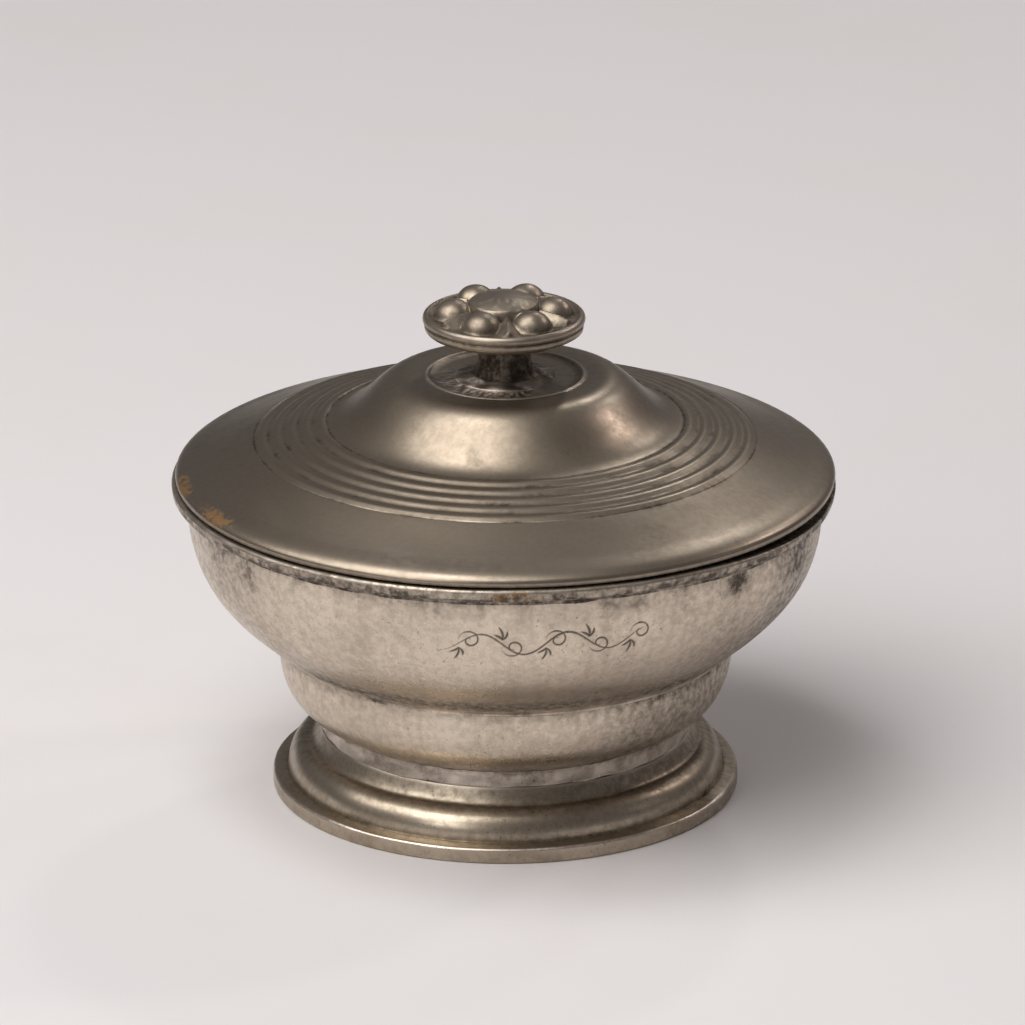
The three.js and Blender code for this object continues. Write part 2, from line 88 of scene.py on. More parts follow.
def ramp(value: Array, low: float, high: float) -> Array:
    """A smooth step, 0 at low and 1 at high: three squares less two cubes of the share.

    Args:
        value: The numbers to grade.
        low: Where the step starts.
        high: Where it ends, which may be below low.

    Returns:
        The shares, in the shape of value.
    """
    share = np.clip((value - low) / (high - low), 0.0, 1.0)
    return share * share * (3.0 - 2.0 * share)


def bell(value: Array, centre: float, width: float) -> Array:
    """A bell, e to the minus half the squared distance from its centre over its width.

    Args:
        value: The numbers to grade.
        centre: Where the bell is 1.
        width: Its standard deviation.

    Returns:
        The shares, in the shape of value.
    """
    return np.exp(-0.5 * ((value - centre) / width) ** 2)


def turn_from(azimuth: Array, degrees: float) -> Array:
    """The turn in degrees from one azimuth to others, the short way round.

    Args:
        azimuth: Azimuths in radians.
        degrees: The azimuth measured from.

    Returns:
        Degrees from minus 180 to 180.
    """
    return (np.degrees(azimuth) - degrees + 180.0) % 360.0 - 180.0


def node_extent(node: str) -> tuple[float, float, float]:
    """The outside of a turned node of the frame.

    Args:
        node: The name of the node.

    Returns:
        Its radius, lowest height and highest height in millimetres.
    """
    low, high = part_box(node)
    return high.x / METRES, low.z / METRES, high.z / METRES


@dataclass
class Outline:
    """The section of a turned piece, counter-clockwise, as points of radius and height.

    Each point carries the widest spacing that the mesh may have there.
    """

    points: list[Point] = field(default_factory=list)
    spacings: list[float] = field(default_factory=list)

    def line(self, *points: Point, spacing: float = 1.5) -> "Outline":
        """Adds straight stretches.

        Args:
            points: The ends of the stretches, in order.
            spacing: The widest spacing of the mesh along them.

        Returns:
            The outline itself.
        """
        self.points.extend((float(r), float(z)) for r, z in points)
        self.spacings.extend([spacing] * len(points))
        return self

    def bow(
        self, leaving: Point, arriving: Point, end: Point, spacing: float = 1.0, steps: int = 48
    ) -> "Outline":
        """Adds a smooth run from the last point, a cubic Bezier curve.

        The weights of its four control points are (1-t)^3, 3(1-t)^2 t, 3(1-t)t^2 and t^3.

        Args:
            leaving: From the start to its handle.
            arriving: From the end back to its handle.
            end: The last point of the run.
            spacing: The widest spacing of the mesh along it.
            steps: How many straight stretches stand for it.

        Returns:
            The outline itself.
        """
        start = np.array(self.points[-1])
        stop = np.array(end, float)
        controls = np.stack([start, start + leaving, stop + arriving, stop])
        t = np.linspace(0.0, 1.0, steps + 1)[1:, None]
        weights = np.hstack([(1 - t) ** 3, 3 * (1 - t) ** 2 * t, 3 * (1 - t) * t**2, t**3])
        return self.line(*map(tuple, weights @ controls), spacing=spacing)

    def arc(
        self,
        centre: Point,
        width: float,
        height: float,
        first: float,
        last: float,
        spacing: float = 0.6,
        steps: int = 32,
    ) -> "Outline":
        """Adds a stretch of an ellipse: centre plus width cos a and height sin a.

        Args:
            centre: Its centre.
            width: Half its width.
            height: Half its height.
            first: The angle that it starts at, in degrees.
            last: The angle that it ends at.
            spacing: The widest spacing of the mesh along it.
            steps: How many straight stretches stand for it.

        Returns:
            The outline itself.
        """
        a = np.radians(np.linspace(first, last, steps + 1))
        run = np.stack([centre[0] + width * np.cos(a), centre[1] + height * np.sin(a)], axis=1)
        return self.line(*map(tuple, run), spacing=spacing)

    def worn(self, softness: float, sharpest: float = 9.0) -> Array:
        """The outline with its corners rounded and its points spread by curvature.

        The outline is laid out in fine even steps, and each point becomes the average of its
        neighbours under a bell of the given width. Points are kept where the length over the
        spacing plus the turn over the sharpest angle has grown by one. An outline that starts
        and ends on the axis is mirrored there, and any other is a loop.

        Args:
            softness: The width of the bell.
            sharpest: The most degrees that the outline turns from one stretch to the next.

        Returns:
            The points, one per row of the mesh.
        """
        raw = np.array(self.points)
        spacing = np.array(self.spacings)
        if self.is_loop:
            raw, spacing = np.vstack([raw, raw[:1]]), np.append(spacing, spacing[0])
        along = np.append(0.0, np.cumsum(np.hypot(*np.diff(raw, axis=0).T)))
        even = np.linspace(0.0, along[-1], int(along[-1] / FINE_STEP) + 1)
        run = np.stack([np.interp(even, along, raw[:, k]) for k in (0, 1)], axis=1)
        spacing = np.interp(even, along, spacing)
        reach = max(1, int(BELL_REACH * softness / FINE_STEP))
        if self.is_loop:
            run, spacing = run[:-1], spacing[:-1]
            padded = np.concatenate([run[-reach:], run, run[:reach]])
        else:
            mirror = np.array([-1.0, 1.0])
            padded = np.concatenate(
                [run[reach:0:-1] * mirror, run, run[-2 : -reach - 2 : -1] * mirror]
            )
        weights = bell(np.arange(-reach, reach + 1) * FINE_STEP, 0.0, softness)
        weights /= weights.sum()
        soft = np.stack([np.convolve(padded[:, k], weights, "valid") for k in (0, 1)], axis=1)
        if self.is_loop:
            soft, spacing = np.vstack([soft, soft[:1]]), np.append(spacing, spacing[0])
        else:
            soft[[0, -1], 0] = 0.0
        steps = np.diff(soft, axis=0)
        heading = np.unwrap(np.arctan2(steps[:, 1], steps[:, 0]))
        turning = np.abs(np.gradient(heading)) / math.radians(sharpest)
        share = np.append(0.0, np.cumsum(np.hypot(*steps.T) / spacing[1:] + turning))
        rows = np.linspace(0.0, share[-1], int(math.ceil(share[-1])) + 1)
        if self.is_loop:
            rows = rows[:-1]
        return np.stack([np.interp(rows, share, soft[:, k]) for k in (0, 1)], axis=1)

    @property
    def is_loop(self) -> bool:
        """Whether the outline stays clear of the axis."""
        return min(r for r, _ in self.points) > 0.0


@dataclass(frozen=True)
class Unevenness:
    """A smooth uneven field round the axis, between about -1 and 1.

    It is the sum of cosines of whole turns times the azimuth plus a rate times the length, each
    with a phase of its own, over the root of half their number.
    """

    seed: int
    turns: int  # the most waves round the axis
    length: float  # the shortest wave along the outline
    waves: int = 20

    def at(self, azimuth: Array, along: Array | float) -> Array:
        """The field.

        Args:
            azimuth: Azimuths in radians.
            along: Lengths in millimetres, such as heights.

        Returns:
            The field, in the shape that the two broadcast to.
        """
        draws = np.random.default_rng(self.seed)
        whole = draws.integers(0, self.turns + 1, self.waves)
        rate = draws.uniform(-1.0, 1.0, self.waves) * 2 * math.pi / self.length
        phase = draws.uniform(0.0, 2 * math.pi, self.waves)
        total = sum(np.cos(m * azimuth + w * along + p) for m, w, p in zip(whole, rate, phase))
        return total / math.sqrt(self.waves / 2)

    def about(self, mean: float, swing: float) -> Field:
        """The field read at azimuths and heights, as a mean plus a swing times the field.

        Args:
            mean: The mean.
            swing: The swing.

        Returns:
            The field as a function of azimuth, radius and height.
        """

        def varied(a: Array, r: Array, z: Array) -> Array:
            """The mean plus the swing times the field."""
            return mean + swing * self.at(a, z)

        return varied


@dataclass(frozen=True)
class Patch:
    """A soft-edged patch on a turned piece, an ellipse in azimuth and in radius plus height."""

    azimuth: float
    centre: float
    width: float  # in degrees
    depth: float  # in millimetres
    strength: float = 1.0

    def on(self, azimuth: Array, along: Array) -> Array:
        """The patch's share: a bell of the azimuth times a bell of the length.

        Args:
            azimuth: Azimuths in radians.
            along: The radii or heights that centre is measured in.

        Returns:
            The shares, in the shape that the two broadcast to.
        """
        side = bell(turn_from(azimuth, self.azimuth), 0.0, self.width)
        return self.strength * side * bell(along, self.centre, self.depth)


def even_turn(columns: int) -> Array:
    """Azimuths in radians evenly round the axis."""
    return np.linspace(0.0, 2 * math.pi, columns, endpoint=False)


def focused_turn(first: float, last: float, fine: float, coarse: float) -> Array:
    """Azimuths that lie close together in one sector and further apart round the rest.

    Args:
        first: Where the fine sector starts, in degrees.
        last: Where it ends.
        fine: The step inside it, in degrees.
        coarse: The step outside it.

    Returns:
        The azimuths in radians.
    """
    inside = np.linspace(first, last, int(round((last - first) / fine)), endpoint=False)
    rest = 360.0 - (last - first)
    outside = np.linspace(last, last + rest, int(round(rest / coarse)), endpoint=False)
    return np.radians(np.concatenate([inside, outside]))


@dataclass
class TurnedPiece:
    """A piece made by carrying a section round the axis.

    A point of the section at radius r and height z is carried to (r sin a, -r cos a, z) at the
    azimuth a. Relief moves it along the section's outward direction, and settling moves it down.
    """

    name: str
    node: str
    body: Body
    slot: str
    section: Array
    azimuths: Array
    relief: Field | None = None
    settling: Field | None = None
    marks: dict[Mark, Field] = field(default_factory=dict)
    lean: Callable[[Array], Array] | None = None  # shift to the right as a function of height

    def build(self, material: bpy.types.Material) -> bpy.types.Object:
        """Makes the mesh, dresses it and hangs it on its body.

        Args:
            material: The finish.

        Returns:
            The new object.
        """
        radius, height = self.carried()
        points = self.points(radius, height)
        mesh = bpy.data.meshes.new(self.name)
        mesh.from_pydata(points, [], self.faces(len(self.section), len(self.azimuths)))
        mesh.update()
        mesh.polygons.foreach_set("use_smooth", np.ones(len(mesh.polygons), bool))
        for mark in Mark:
            shares = self.marked(mark)
            layer = mesh.attributes.new(mark.value, "FLOAT", "POINT")
            layer.data.foreach_set("value", shares.astype(np.float32))
        mesh.materials.append(material)
        piece = bpy.data.objects.new(self.name, mesh)
        bpy.context.scene.collection.objects.link(piece)
        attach(piece, self.body.value)
        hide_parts(self.node)
        log.info("%s: %d points, %d faces", self.name, len(points), len(mesh.polygons))
        return piece

    @property
    def ends_on_axis(self) -> bool:
        """Whether the section starts and ends on the axis."""
        return abs(self.section[0, 0]) < ON_AXIS

    def carried(self) -> tuple[Array, Array]:
        """The radius and height of every point of the grid, rows along the section.

        Returns:
            Two arrays with a row for each point of the section and a column for each azimuth.
        """
        azimuth = self.azimuths[None, :]
        rest_r, rest_z = self.section[:, :1], self.section[:, 1:]
        radius = np.repeat(rest_r, len(self.azimuths), axis=1)
        height = np.repeat(rest_z, len(self.azimuths), axis=1)
        if self.relief is not None:
            if self.ends_on_axis:
                along = np.gradient(self.section, axis=0)
            else:
                along = np.roll(self.section, -1, axis=0) - np.roll(self.section, 1, axis=0)
            along = along / np.linalg.norm(along, axis=1, keepdims=True)
            proud = self.relief(azimuth, rest_r, rest_z)
            radius = radius + along[:, 1:] * proud
            height = height - along[:, :1] * proud
        if self.settling is not None:
            height = height - self.settling(azimuth, rest_r, rest_z)
        if self.ends_on_axis:
            radius[[0, -1]] = 0.0
        return radius, height

    def points(self, radius: Array, height: Array) -> Array:
        """The points of the mesh in metres, with one point for each end on the axis.

        Args:
            radius: The radii of the grid.
            height: Its heights.

        Returns:
            Rows of x, y and z.
        """
        across = self.lean(height) if self.lean is not None else 0.0
        x = radius * np.sin(self.azimuths) + across
        y = -radius * np.cos(self.azimuths)
        grid = np.stack([x, y, height], axis=-1)
        if not self.ends_on_axis:
            return grid.reshape(-1, 3) * METRES
        ends = grid[[0, -1]].mean(axis=1)
        return np.vstack([ends[:1], grid[1:-1].reshape(-1, 3), ends[1:]]) * METRES

    def marked(self, mark: Mark) -> Array:
        """One mark's share at every point of the mesh.

        Args:
            mark: Which mark.

        Returns:
            The shares in the order of the points.
        """
        shape = (len(self.section), len(self.azimuths))
        shares = np.zeros(shape)
        if mark in self.marks:
            rest = (self.azimuths[None, :], self.section[:, :1], self.section[:, 1:])
            shares = shares + np.clip(self.marks[mark](*rest), 0.0, 1.0)
        if not self.ends_on_axis:
            return shares.ravel()
        ends = shares[[0, -1]].mean(axis=1)
        return np.concatenate([ends[:1], shares[1:-1].ravel(), ends[1:]])

    def faces(self, rows: int, columns: int) -> list[tuple[int, ...]]:
        """The faces of the grid, outwards, closed round the axis and at both ends.

        Args:
            rows: Points of the section.
            columns: Azimuths.

        Returns:
            The corners of each face.
        """
        here = np.arange(columns)
        beside = np.roll(here, -1)
        if not self.ends_on_axis:
            low = (np.arange(rows) * columns)[:, None]
            high = np.roll(low, -1, axis=0)
            quads = np.stack([low + here, low + beside, high + beside, high + here], axis=-1)
            return quads.reshape(-1, 4).tolist()
        low = (1 + np.arange(rows - 3) * columns)[:, None]
        high = low + columns
        quads = np.stack([low + here, low + beside, high + beside, high + here], axis=-1)
        last_row = 1 + (rows - 3) * columns
        top = np.full(columns, last_row + columns)
        first = np.stack([np.zeros(columns, int), 1 + beside, 1 + here], axis=-1)
        last = np.stack([last_row + here, last_row + beside, top], axis=-1)
        return quads.reshape(-1, 4).tolist() + first.tolist() + last.tolist()


Socket = bpy.types.NodeSocket
Value = Socket | float


@dataclass
class Bench:
    """A node tree being wired: each method adds one node and hands back its output."""

    tree: bpy.types.NodeTree

    def add(self, kind: str, **settings: object) -> bpy.types.Node:
        """Adds a node.

        Args:
            kind: Its type.
            settings: Its properties.

        Returns:
            The node.
        """
        node = self.tree.nodes.new(kind)
        for name, setting in settings.items():
            setattr(node, name, setting)
        return node

    def feed(self, socket: Socket, value: "Value | Colour") -> None:
        """Links a socket to another, or sets its number or colour.

        Args:
            socket: The socket that is fed.
            value: Another socket, a number or a colour.
        """
        if isinstance(value, bpy.types.NodeSocket):
            self.tree.links.new(value, socket)
        elif isinstance(value, tuple):
            socket.default_value = (*value, 1.0) if len(value) == 3 else value
        else:
            socket.default_value = value

    def sum_of(self, operation: str, *values: Value, clamp: bool = False) -> Socket:
        """A sum, product or other reckoning of numbers.

        Args:
            operation: The name of the reckoning.
            values: What it works on.
            clamp: Whether the result stays between 0 and 1.

        Returns:
            The result.
        """
        node = self.add("ShaderNodeMath", operation=operation, use_clamp=clamp)
        for socket, value in zip(node.inputs, values):
            self.feed(socket, value)
        return node.outputs[0]

    def graded(self, value: Value, low: float, high: float, first: float, last: float) -> Socket:
        """A number carried smoothly from one range to another and held at its ends.

        Args:
            value: The number.
            low: Where the first range starts.
            high: Where it ends.
            first: The result at low.
            last: The result at high.

        Returns:
            The result.
        """
        node = self.add("ShaderNodeMapRange", interpolation_type="SMOOTHSTEP")
        for name, given in (
            ("Value", value),
            ("From Min", low),
            ("From Max", high),
            ("To Min", first),
            ("To Max", last),
        ):
            self.feed(node.inputs[name], given)
        return node.outputs[0]

    def blended(self, share: Value, first: "Value | Colour", last: "Value | Colour") -> Socket:
        """A mixture of two colours.

        Args:
            share: How much of the last.
            first: A colour.
            last: A colour.

        Returns:
            The mixture.
        """
        node = self.add("ShaderNodeMix", data_type="RGBA")
        self.feed(node.inputs[0], share)
        self.feed(node.inputs[6], first)
        self.feed(node.inputs[7], last)
        return node.outputs[2]

    def cloud(
        self, place: Socket, size: float, detail: float = 4.0, roughness: float = 0.55
    ) -> Socket:
        """A cloudy field between 0 and 1.

        Args:
            place: Where it is read, in metres.
            size: The width of its largest clouds in millimetres.
            detail: How many finer layers it has.
            roughness: How strong they are.

        Returns:
            The field.
        """
        node = self.add("ShaderNodeTexNoise", noise_dimensions="3D")
        self.feed(node.inputs["Vector"], place)
        self.feed(node.inputs["Scale"], 1.0 / (size * METRES))
        self.feed(node.inputs["Detail"], detail)
        self.feed(node.inputs["Roughness"], roughness)
        return node.outputs["Fac"]

    def place(self, x: Value, y: Value, z: Value) -> Socket:
        """A point from its three coordinates.

        Args:
            x: To the right.
            y: Backwards.
            z: Upwards.

        Returns:
            The point.
        """
        node = self.add("ShaderNodeCombineXYZ")
        for socket, value in zip(node.inputs, (x, y, z)):
            self.feed(socket, value)
        return node.outputs[0]

    def mark(self, mark: Mark) -> Socket:
        """One of the mesh's marks."""
        return self.add("ShaderNodeAttribute", attribute_name=mark.value).outputs["Fac"]


@dataclass(frozen=True)
class PewterFinish:
    """Old pewter: a clean metal under a cloudy tarnish, with pits, turning marks, dirt and painted
    shade.
    """

    name: str
    clean: Colour
    tarnished: Colour
    tarnish: float  # the mean share of the tarnished colour
    clouding: float = 0.5  # how far the tarnish varies over a hand's breadth
    mottling: float = 0.3  # how far it varies over a millimetre or two
    streaking: float = 0.0  # how far it varies in upright streaks
    pitting: float = 0.5
    roughness: float = 0.34
    unevenness: float = 0.1  # of the roughness
    turning: float = 0.25  # depth of the turning marks
    grain: float = 0.5  # depth of the cast grain
    matt_wear: float = 0.0  # how far scraped places lose the metal's mirror
    scraped: Colour = (0.93, 0.82, 0.73)
    # the colour of dirt, also laid on as painted shade
    grime: Colour = (0.035, 0.028, 0.022)
    rust: Colour = (0.30, 0.16, 0.06)

    def material(self) -> bpy.types.Material:
        """Wires the finish.

        Returns:
            The material.
        """
        material = bpy.data.materials.new(self.name)
        material.use_nodes = True
        tree = material.node_tree
        tree.nodes.clear()
        bench = Bench(tree)
        shader = bench.add("ShaderNodeBsdfPrincipled")
        output = bench.add("ShaderNodeOutputMaterial")
        tree.links.new(shader.outputs[0], output.inputs[0])
        place = bench.add("ShaderNodeTexCoord").outputs["Object"]
        apart = bench.add("ShaderNodeSeparateXYZ")
        bench.feed(apart.inputs[0], place)
        x, y, z = apart.outputs
        squared = bench.sum_of(
            "ADD", bench.sum_of("MULTIPLY", x, x), bench.sum_of("MULTIPLY", y, y)
        )
        radius = bench.sum_of("MAXIMUM", bench.sum_of("SQRT", squared), 1e-4)
        grime, wear = bench.mark(Mark.GRIME_AND_SHADE), bench.mark(Mark.WEAR)
        stain, cut = bench.mark(Mark.STAIN), bench.mark(Mark.CUT)

        clouds = bench.cloud(place, 22.0, 5.0, 0.6)
        mottles = bench.cloud(place, 1.5, 5.0, 0.7)
        pits = self.pits(bench, place)
        tarnish = self.tarnish_share(bench, clouds, mottles, (x, y, z), radius)
        colour = bench.blended(tarnish, self.clean, self.tarnished)
        # the dark colour goes where the mesh marks dirt and painted shade
        dirt_and_shade = bench.sum_of("MULTIPLY", grime, bench.graded(mottles, 0.3, 0.7, 0.55, 1.25))
        dirt_and_shade = bench.sum_of("MINIMUM", dirt_and_shade, 1.0)
        colour = bench.blended(bench.sum_of("MULTIPLY", dirt_and_shade, 0.85), colour, self.grime)
        worn_through = bench.sum_of("MULTIPLY", wear, bench.graded(mottles, 0.35, 0.65, 0.3, 1.0))
        colour = bench.blended(worn_through, colour, self.scraped)
        rusted = bench.sum_of(
            "MULTIPLY",
            bench.graded(stain, 0.1, 0.7, 0.0, 1.0),
            bench.graded(bench.cloud(place, 1.3, 3.0), 0.42, 0.56, 0.0, 0.85),
        )
        colour = bench.blended(rusted, colour, self.rust)
        colour = bench.blended(bench.sum_of("MULTIPLY", pits, self.pitting), colour, self.grime)
        colour = bench.blended(bench.sum_of("MULTIPLY", cut, 0.88), colour, self.grime)
        bench.feed(shader.inputs["Base Color"], colour)
        metallic = bench.sum_of("MULTIPLY_ADD", worn_through, -self.matt_wear, 0.96)
        bench.feed(shader.inputs["Metallic"], metallic)
        bench.feed(shader.inputs["Roughness"], self.gloss(bench, clouds, mottles, dirt_and_shade, rusted))
        bench.feed(shader.inputs["Normal"], self.bumps(bench, place, radius, z, pits, mottles))
        return material

    def pits(self, bench: Bench, place: Socket) -> Socket:
        """Small pits that crowd together here and there.

        Args:
            bench: The tree.
            place: Object coordinates.

        Returns:
            The share that is pitted.
        """
        small = bench.graded(bench.cloud(place, 0.55, 2.0, 0.6), 0.64, 0.71, 0.0, 1.0)
        large = bench.graded(bench.cloud(place, 1.3, 2.0, 0.6), 0.69, 0.74, 0.0, 1.0)
        crowd = bench.graded(bench.cloud(place, 13.0, 2.0), 0.42, 0.62, 0.25, 1.0)
        return bench.sum_of("MULTIPLY", bench.sum_of("MAXIMUM", small, large), crowd)

    def tarnish_share(
        self,
        bench: Bench,
        clouds: Socket,
        mottles: Socket,
        place: tuple[Socket, Socket, Socket],
        radius: Socket,
    ) -> Socket:
        """The share of the tarnished colour: its mean plus clouds, mottles and streaks.

        Args:
            bench: The tree.
            clouds: The broad field.
            mottles: The fine field.
            place: Object coordinates.
            radius: The distance from the axis.

        Returns:
            The share, between 0 and 1.
        """
        share = bench.graded(clouds, 0.32, 0.68, -self.clouding, self.clouding)
        share = bench.sum_of("ADD", share, self.tarnish)
        fine = bench.graded(mottles, 0.32, 0.68, -self.mottling, self.mottling)
        share = bench.sum_of("ADD", share, fine)
        if self.streaking > 0.0:
            x, y, z = place
            upright = bench.place(
                bench.sum_of("DIVIDE", x, radius),
                bench.sum_of("DIVIDE", y, radius),
                bench.sum_of("MULTIPLY", z, 1.2),
            )
            streaks = bench.cloud(upright, 38.0, 4.0, 0.65)
            streaks = bench.graded(streaks, 0.35, 0.7, -self.streaking, self.streaking)
            share = bench.sum_of("ADD", share, streaks)
        return bench.sum_of("MAXIMUM", bench.sum_of("MINIMUM", share, 1.0), 0.0)

    def gloss(
        self, bench: Bench, clouds: Socket, mottles: Socket, dirt_and_shade: Socket, rusted: Socket
    ) -> Socket:
        """The roughness: its mean, cloudy, and higher on dirt, painted shade and rust.

        Args:
            bench: The tree.
            clouds: The broad field.
            mottles: The fine field.
            dirt_and_shade: The share of dirt and of painted shade.
            rusted: The share of rust.

        Returns:
            The roughness.
        """
        low, high = self.roughness - self.unevenness, self.roughness + self.unevenness
        rough = bench.graded(
            bench.sum_of("MULTIPLY_ADD", mottles, 0.5, bench.sum_of("MULTIPLY", clouds, 0.5)),
            0.35,
            0.65,
            low,
            high,
        )
        rough = bench.sum_of("MULTIPLY_ADD", dirt_and_shade, 0.25, rough)
        return bench.sum_of("MULTIPLY_ADD", rusted, 0.3, rough, clamp=True)

    def bumps(
        self,
        bench: Bench,
        place: Socket,
        radius: Socket,
        z: Socket,
        pits: Socket,
        mottles: Socket,
    ) -> Socket:
        """Turning marks, pits and a fine grain, as a bend of the normal.

        Args:
            bench: The tree.
            place: Object coordinates.
            radius: The distance from the axis.
            z: The height.
            pits: The share that is pitted.
            mottles: The fine field.

        Returns:
            The bent normal.
        """
        rings = bench.cloud(bench.place(radius, 0.0, z), 0.42, 3.0, 0.7)
        height = bench.sum_of("MULTIPLY", rings, self.turning)
        height = bench.sum_of("MULTIPLY_ADD", mottles, self.grain, height)
        fine_grain = bench.cloud(place, 0.5, 2.0)
        height = bench.sum_of("MULTIPLY_ADD", fine_grain, 0.1 + 0.3 * self.grain, height)
        height = bench.sum_of("MULTIPLY_ADD", pits, -self.pitting, height)
        node = bench.add("ShaderNodeBump")
        node.inputs["Strength"].default_value = 0.5
        node.inputs["Distance"].default_value = 0.06 * METRES
        bench.feed(node.inputs["Height"], height)
        return node.outputs[0]


@dataclass(frozen=True)
class TableFinish:
    """A pale matt table top with faint smudges."""

    name: str = "pale_table"
    pale: Colour = (0.79, 0.768, 0.782)
    smudged: Colour = (0.77, 0.735, 0.73)

    def material(self) -> bpy.types.Material:
        """Wires the finish.

        Returns:
            The material.
        """
        material = bpy.data.materials.new(self.name)
        material.use_nodes = True
        bench = Bench(material.node_tree)
        shader = material.node_tree.nodes["Principled BSDF"]
        place = bench.add("ShaderNodeTexCoord").outputs["Object"]
        smudges = bench.graded(bench.cloud(place, 90.0, 5.0, 0.6), 0.45, 0.75, 0.0, 0.7)
        bench.feed(shader.inputs["Base Color"], bench.blended(smudges, self.pale, self.smudged))
        shader.inputs["Roughness"].default_value = 0.7
        return material


@dataclass(frozen=True)
class Stroke:
    """One cut of the engraver: a path on the unrolled wall that swells and thins."""

    path: Array  # rows of length along the wall and height
    width: float  # half the widest width

    def share(self, along: Array, height: Array) -> Array:
        """How deep the cut is at points of the wall: 1 on its path and 0 at its edge.

        The distance to the nearest point of the path is graded over the width there, which
        swells as the root of the sine of the share of the path.

        Args:
            along: Lengths along the wall.
            height: Heights.

        Returns:
            The shares.
        """
        t = np.linspace(0.0, 1.0, len(self.path))
        width = self.width * np.sqrt(np.sin(math.pi * np.clip(t, 0.03, 0.97)))
        reach = self.width
        low, high = self.path.min(axis=0) - reach, self.path.max(axis=0) + reach
        near = (along > low[0]) & (along < high[0]) & (height > low[1]) & (height < high[1])
        result = np.zeros(near.shape)
        if near.any():
            here = np.stack([along[near], height[near]], axis=1)
            apart = np.linalg.norm(here[:, None] - self.path[None], axis=2) / width[None]
            result[near] = ramp(apart.min(axis=1), 1.0, 0.2)
        return result


@dataclass
class Flourish:
    """A running vine cut into the front of the wall: a wave with curled shoots and leaves."""

    azimuth: float = 7.3  # of its middle
    height: float = 50.4  # of its middle
    half_length: float = 20.5
    wave: float = 2.3  # height of the stem's wave
    bends: int = 5
    line: float = 0.31  # half the width of a cut
    depth: float = 0.13
    lowest_radius: float = 57.5  # where the cuts start, outside and inside the mouth alike

    def strokes(self) -> list[Stroke]:
        """The cuts, in lengths along the wall from the middle and heights from the middle.

        Returns:
            The strokes.
        """
        t = np.linspace(-1.0, 1.0, 260)
        swell = self.wave * (1.0 - 0.25 * t**2)
        stem = np.stack([t * self.half_length, swell * np.sin(t * self.bends * math.pi / 2)], 1)
        cuts = [Stroke(stem, self.line)]
        for k in range(-(self.bends // 2), self.bends // 2 + 1):
            centre = 2.0 * k / self.bends
            side = -1.0 if k % 2 else 1.0
            cuts.append(Stroke(self.shoot(centre * self.half_length, side), self.line * 0.9))
            cuts.extend(self.leaf(centre * self.half_length, side))
        return cuts

    def shoot(self, start: float, side: float) -> Array:
        """A shoot that curls in on itself, a spiral whose radius shrinks with its angle.

        Args:
            start: Where it leaves the stem.
            side: 1 to curl above the stem, -1 below.

        Returns:
            Its path.
        """
        turn = np.linspace(0.0, 2.6 * math.pi, 110)
        radius = 2.2 * (1.0 - turn / (3.1 * math.pi))
        middle = start + 2.1
        x = middle - radius * np.cos(turn)
        y = side * (0.75 + radius * np.sin(turn))
        return np.stack([x, y], axis=1)

    def leaf(self, start: float, side: float) -> list[Stroke]:
        """Three short pointed leaves that fan out on the other side of the stem.

        Args:
            start: Where they leave the stem.
            side: The side of the shoot.

        Returns:
            Their strokes.
        """
        t = np.linspace(0.0, 1.0, 40)
        blades = []
        for spread, length in ((-55.0, 2.0), (-15.0, 2.8), (25.0, 2.0)):
            angle = math.radians(spread)
            bend = 0.35 * np.sin(math.pi * t)
            x = start + length * t * math.sin(angle) + bend
            y = -side * (0.9 + length * t * math.cos(angle))
            blades.append(Stroke(np.stack([x, y], axis=1), self.line * 1.25))
        return blades

    def share(self, azimuth: Array, radius: Array, height: Array) -> Array:
        """How deep the vine is cut at points of the wall.

        Args:
            azimuth: Azimuths in radians.
            radius: Radii.
            height: Heights.

        Returns:
            The deepest share of its strokes.
        """
        along = np.radians(turn_from(azimuth, self.azimuth)) * radius
        along, up = np.broadcast_arrays(along, height - self.height)
        deepest = np.zeros(along.shape)
        for stroke in self.strokes():
            deepest = np.maximum(deepest, stroke.share(along, up))
        return deepest * (radius > self.lowest_radius)


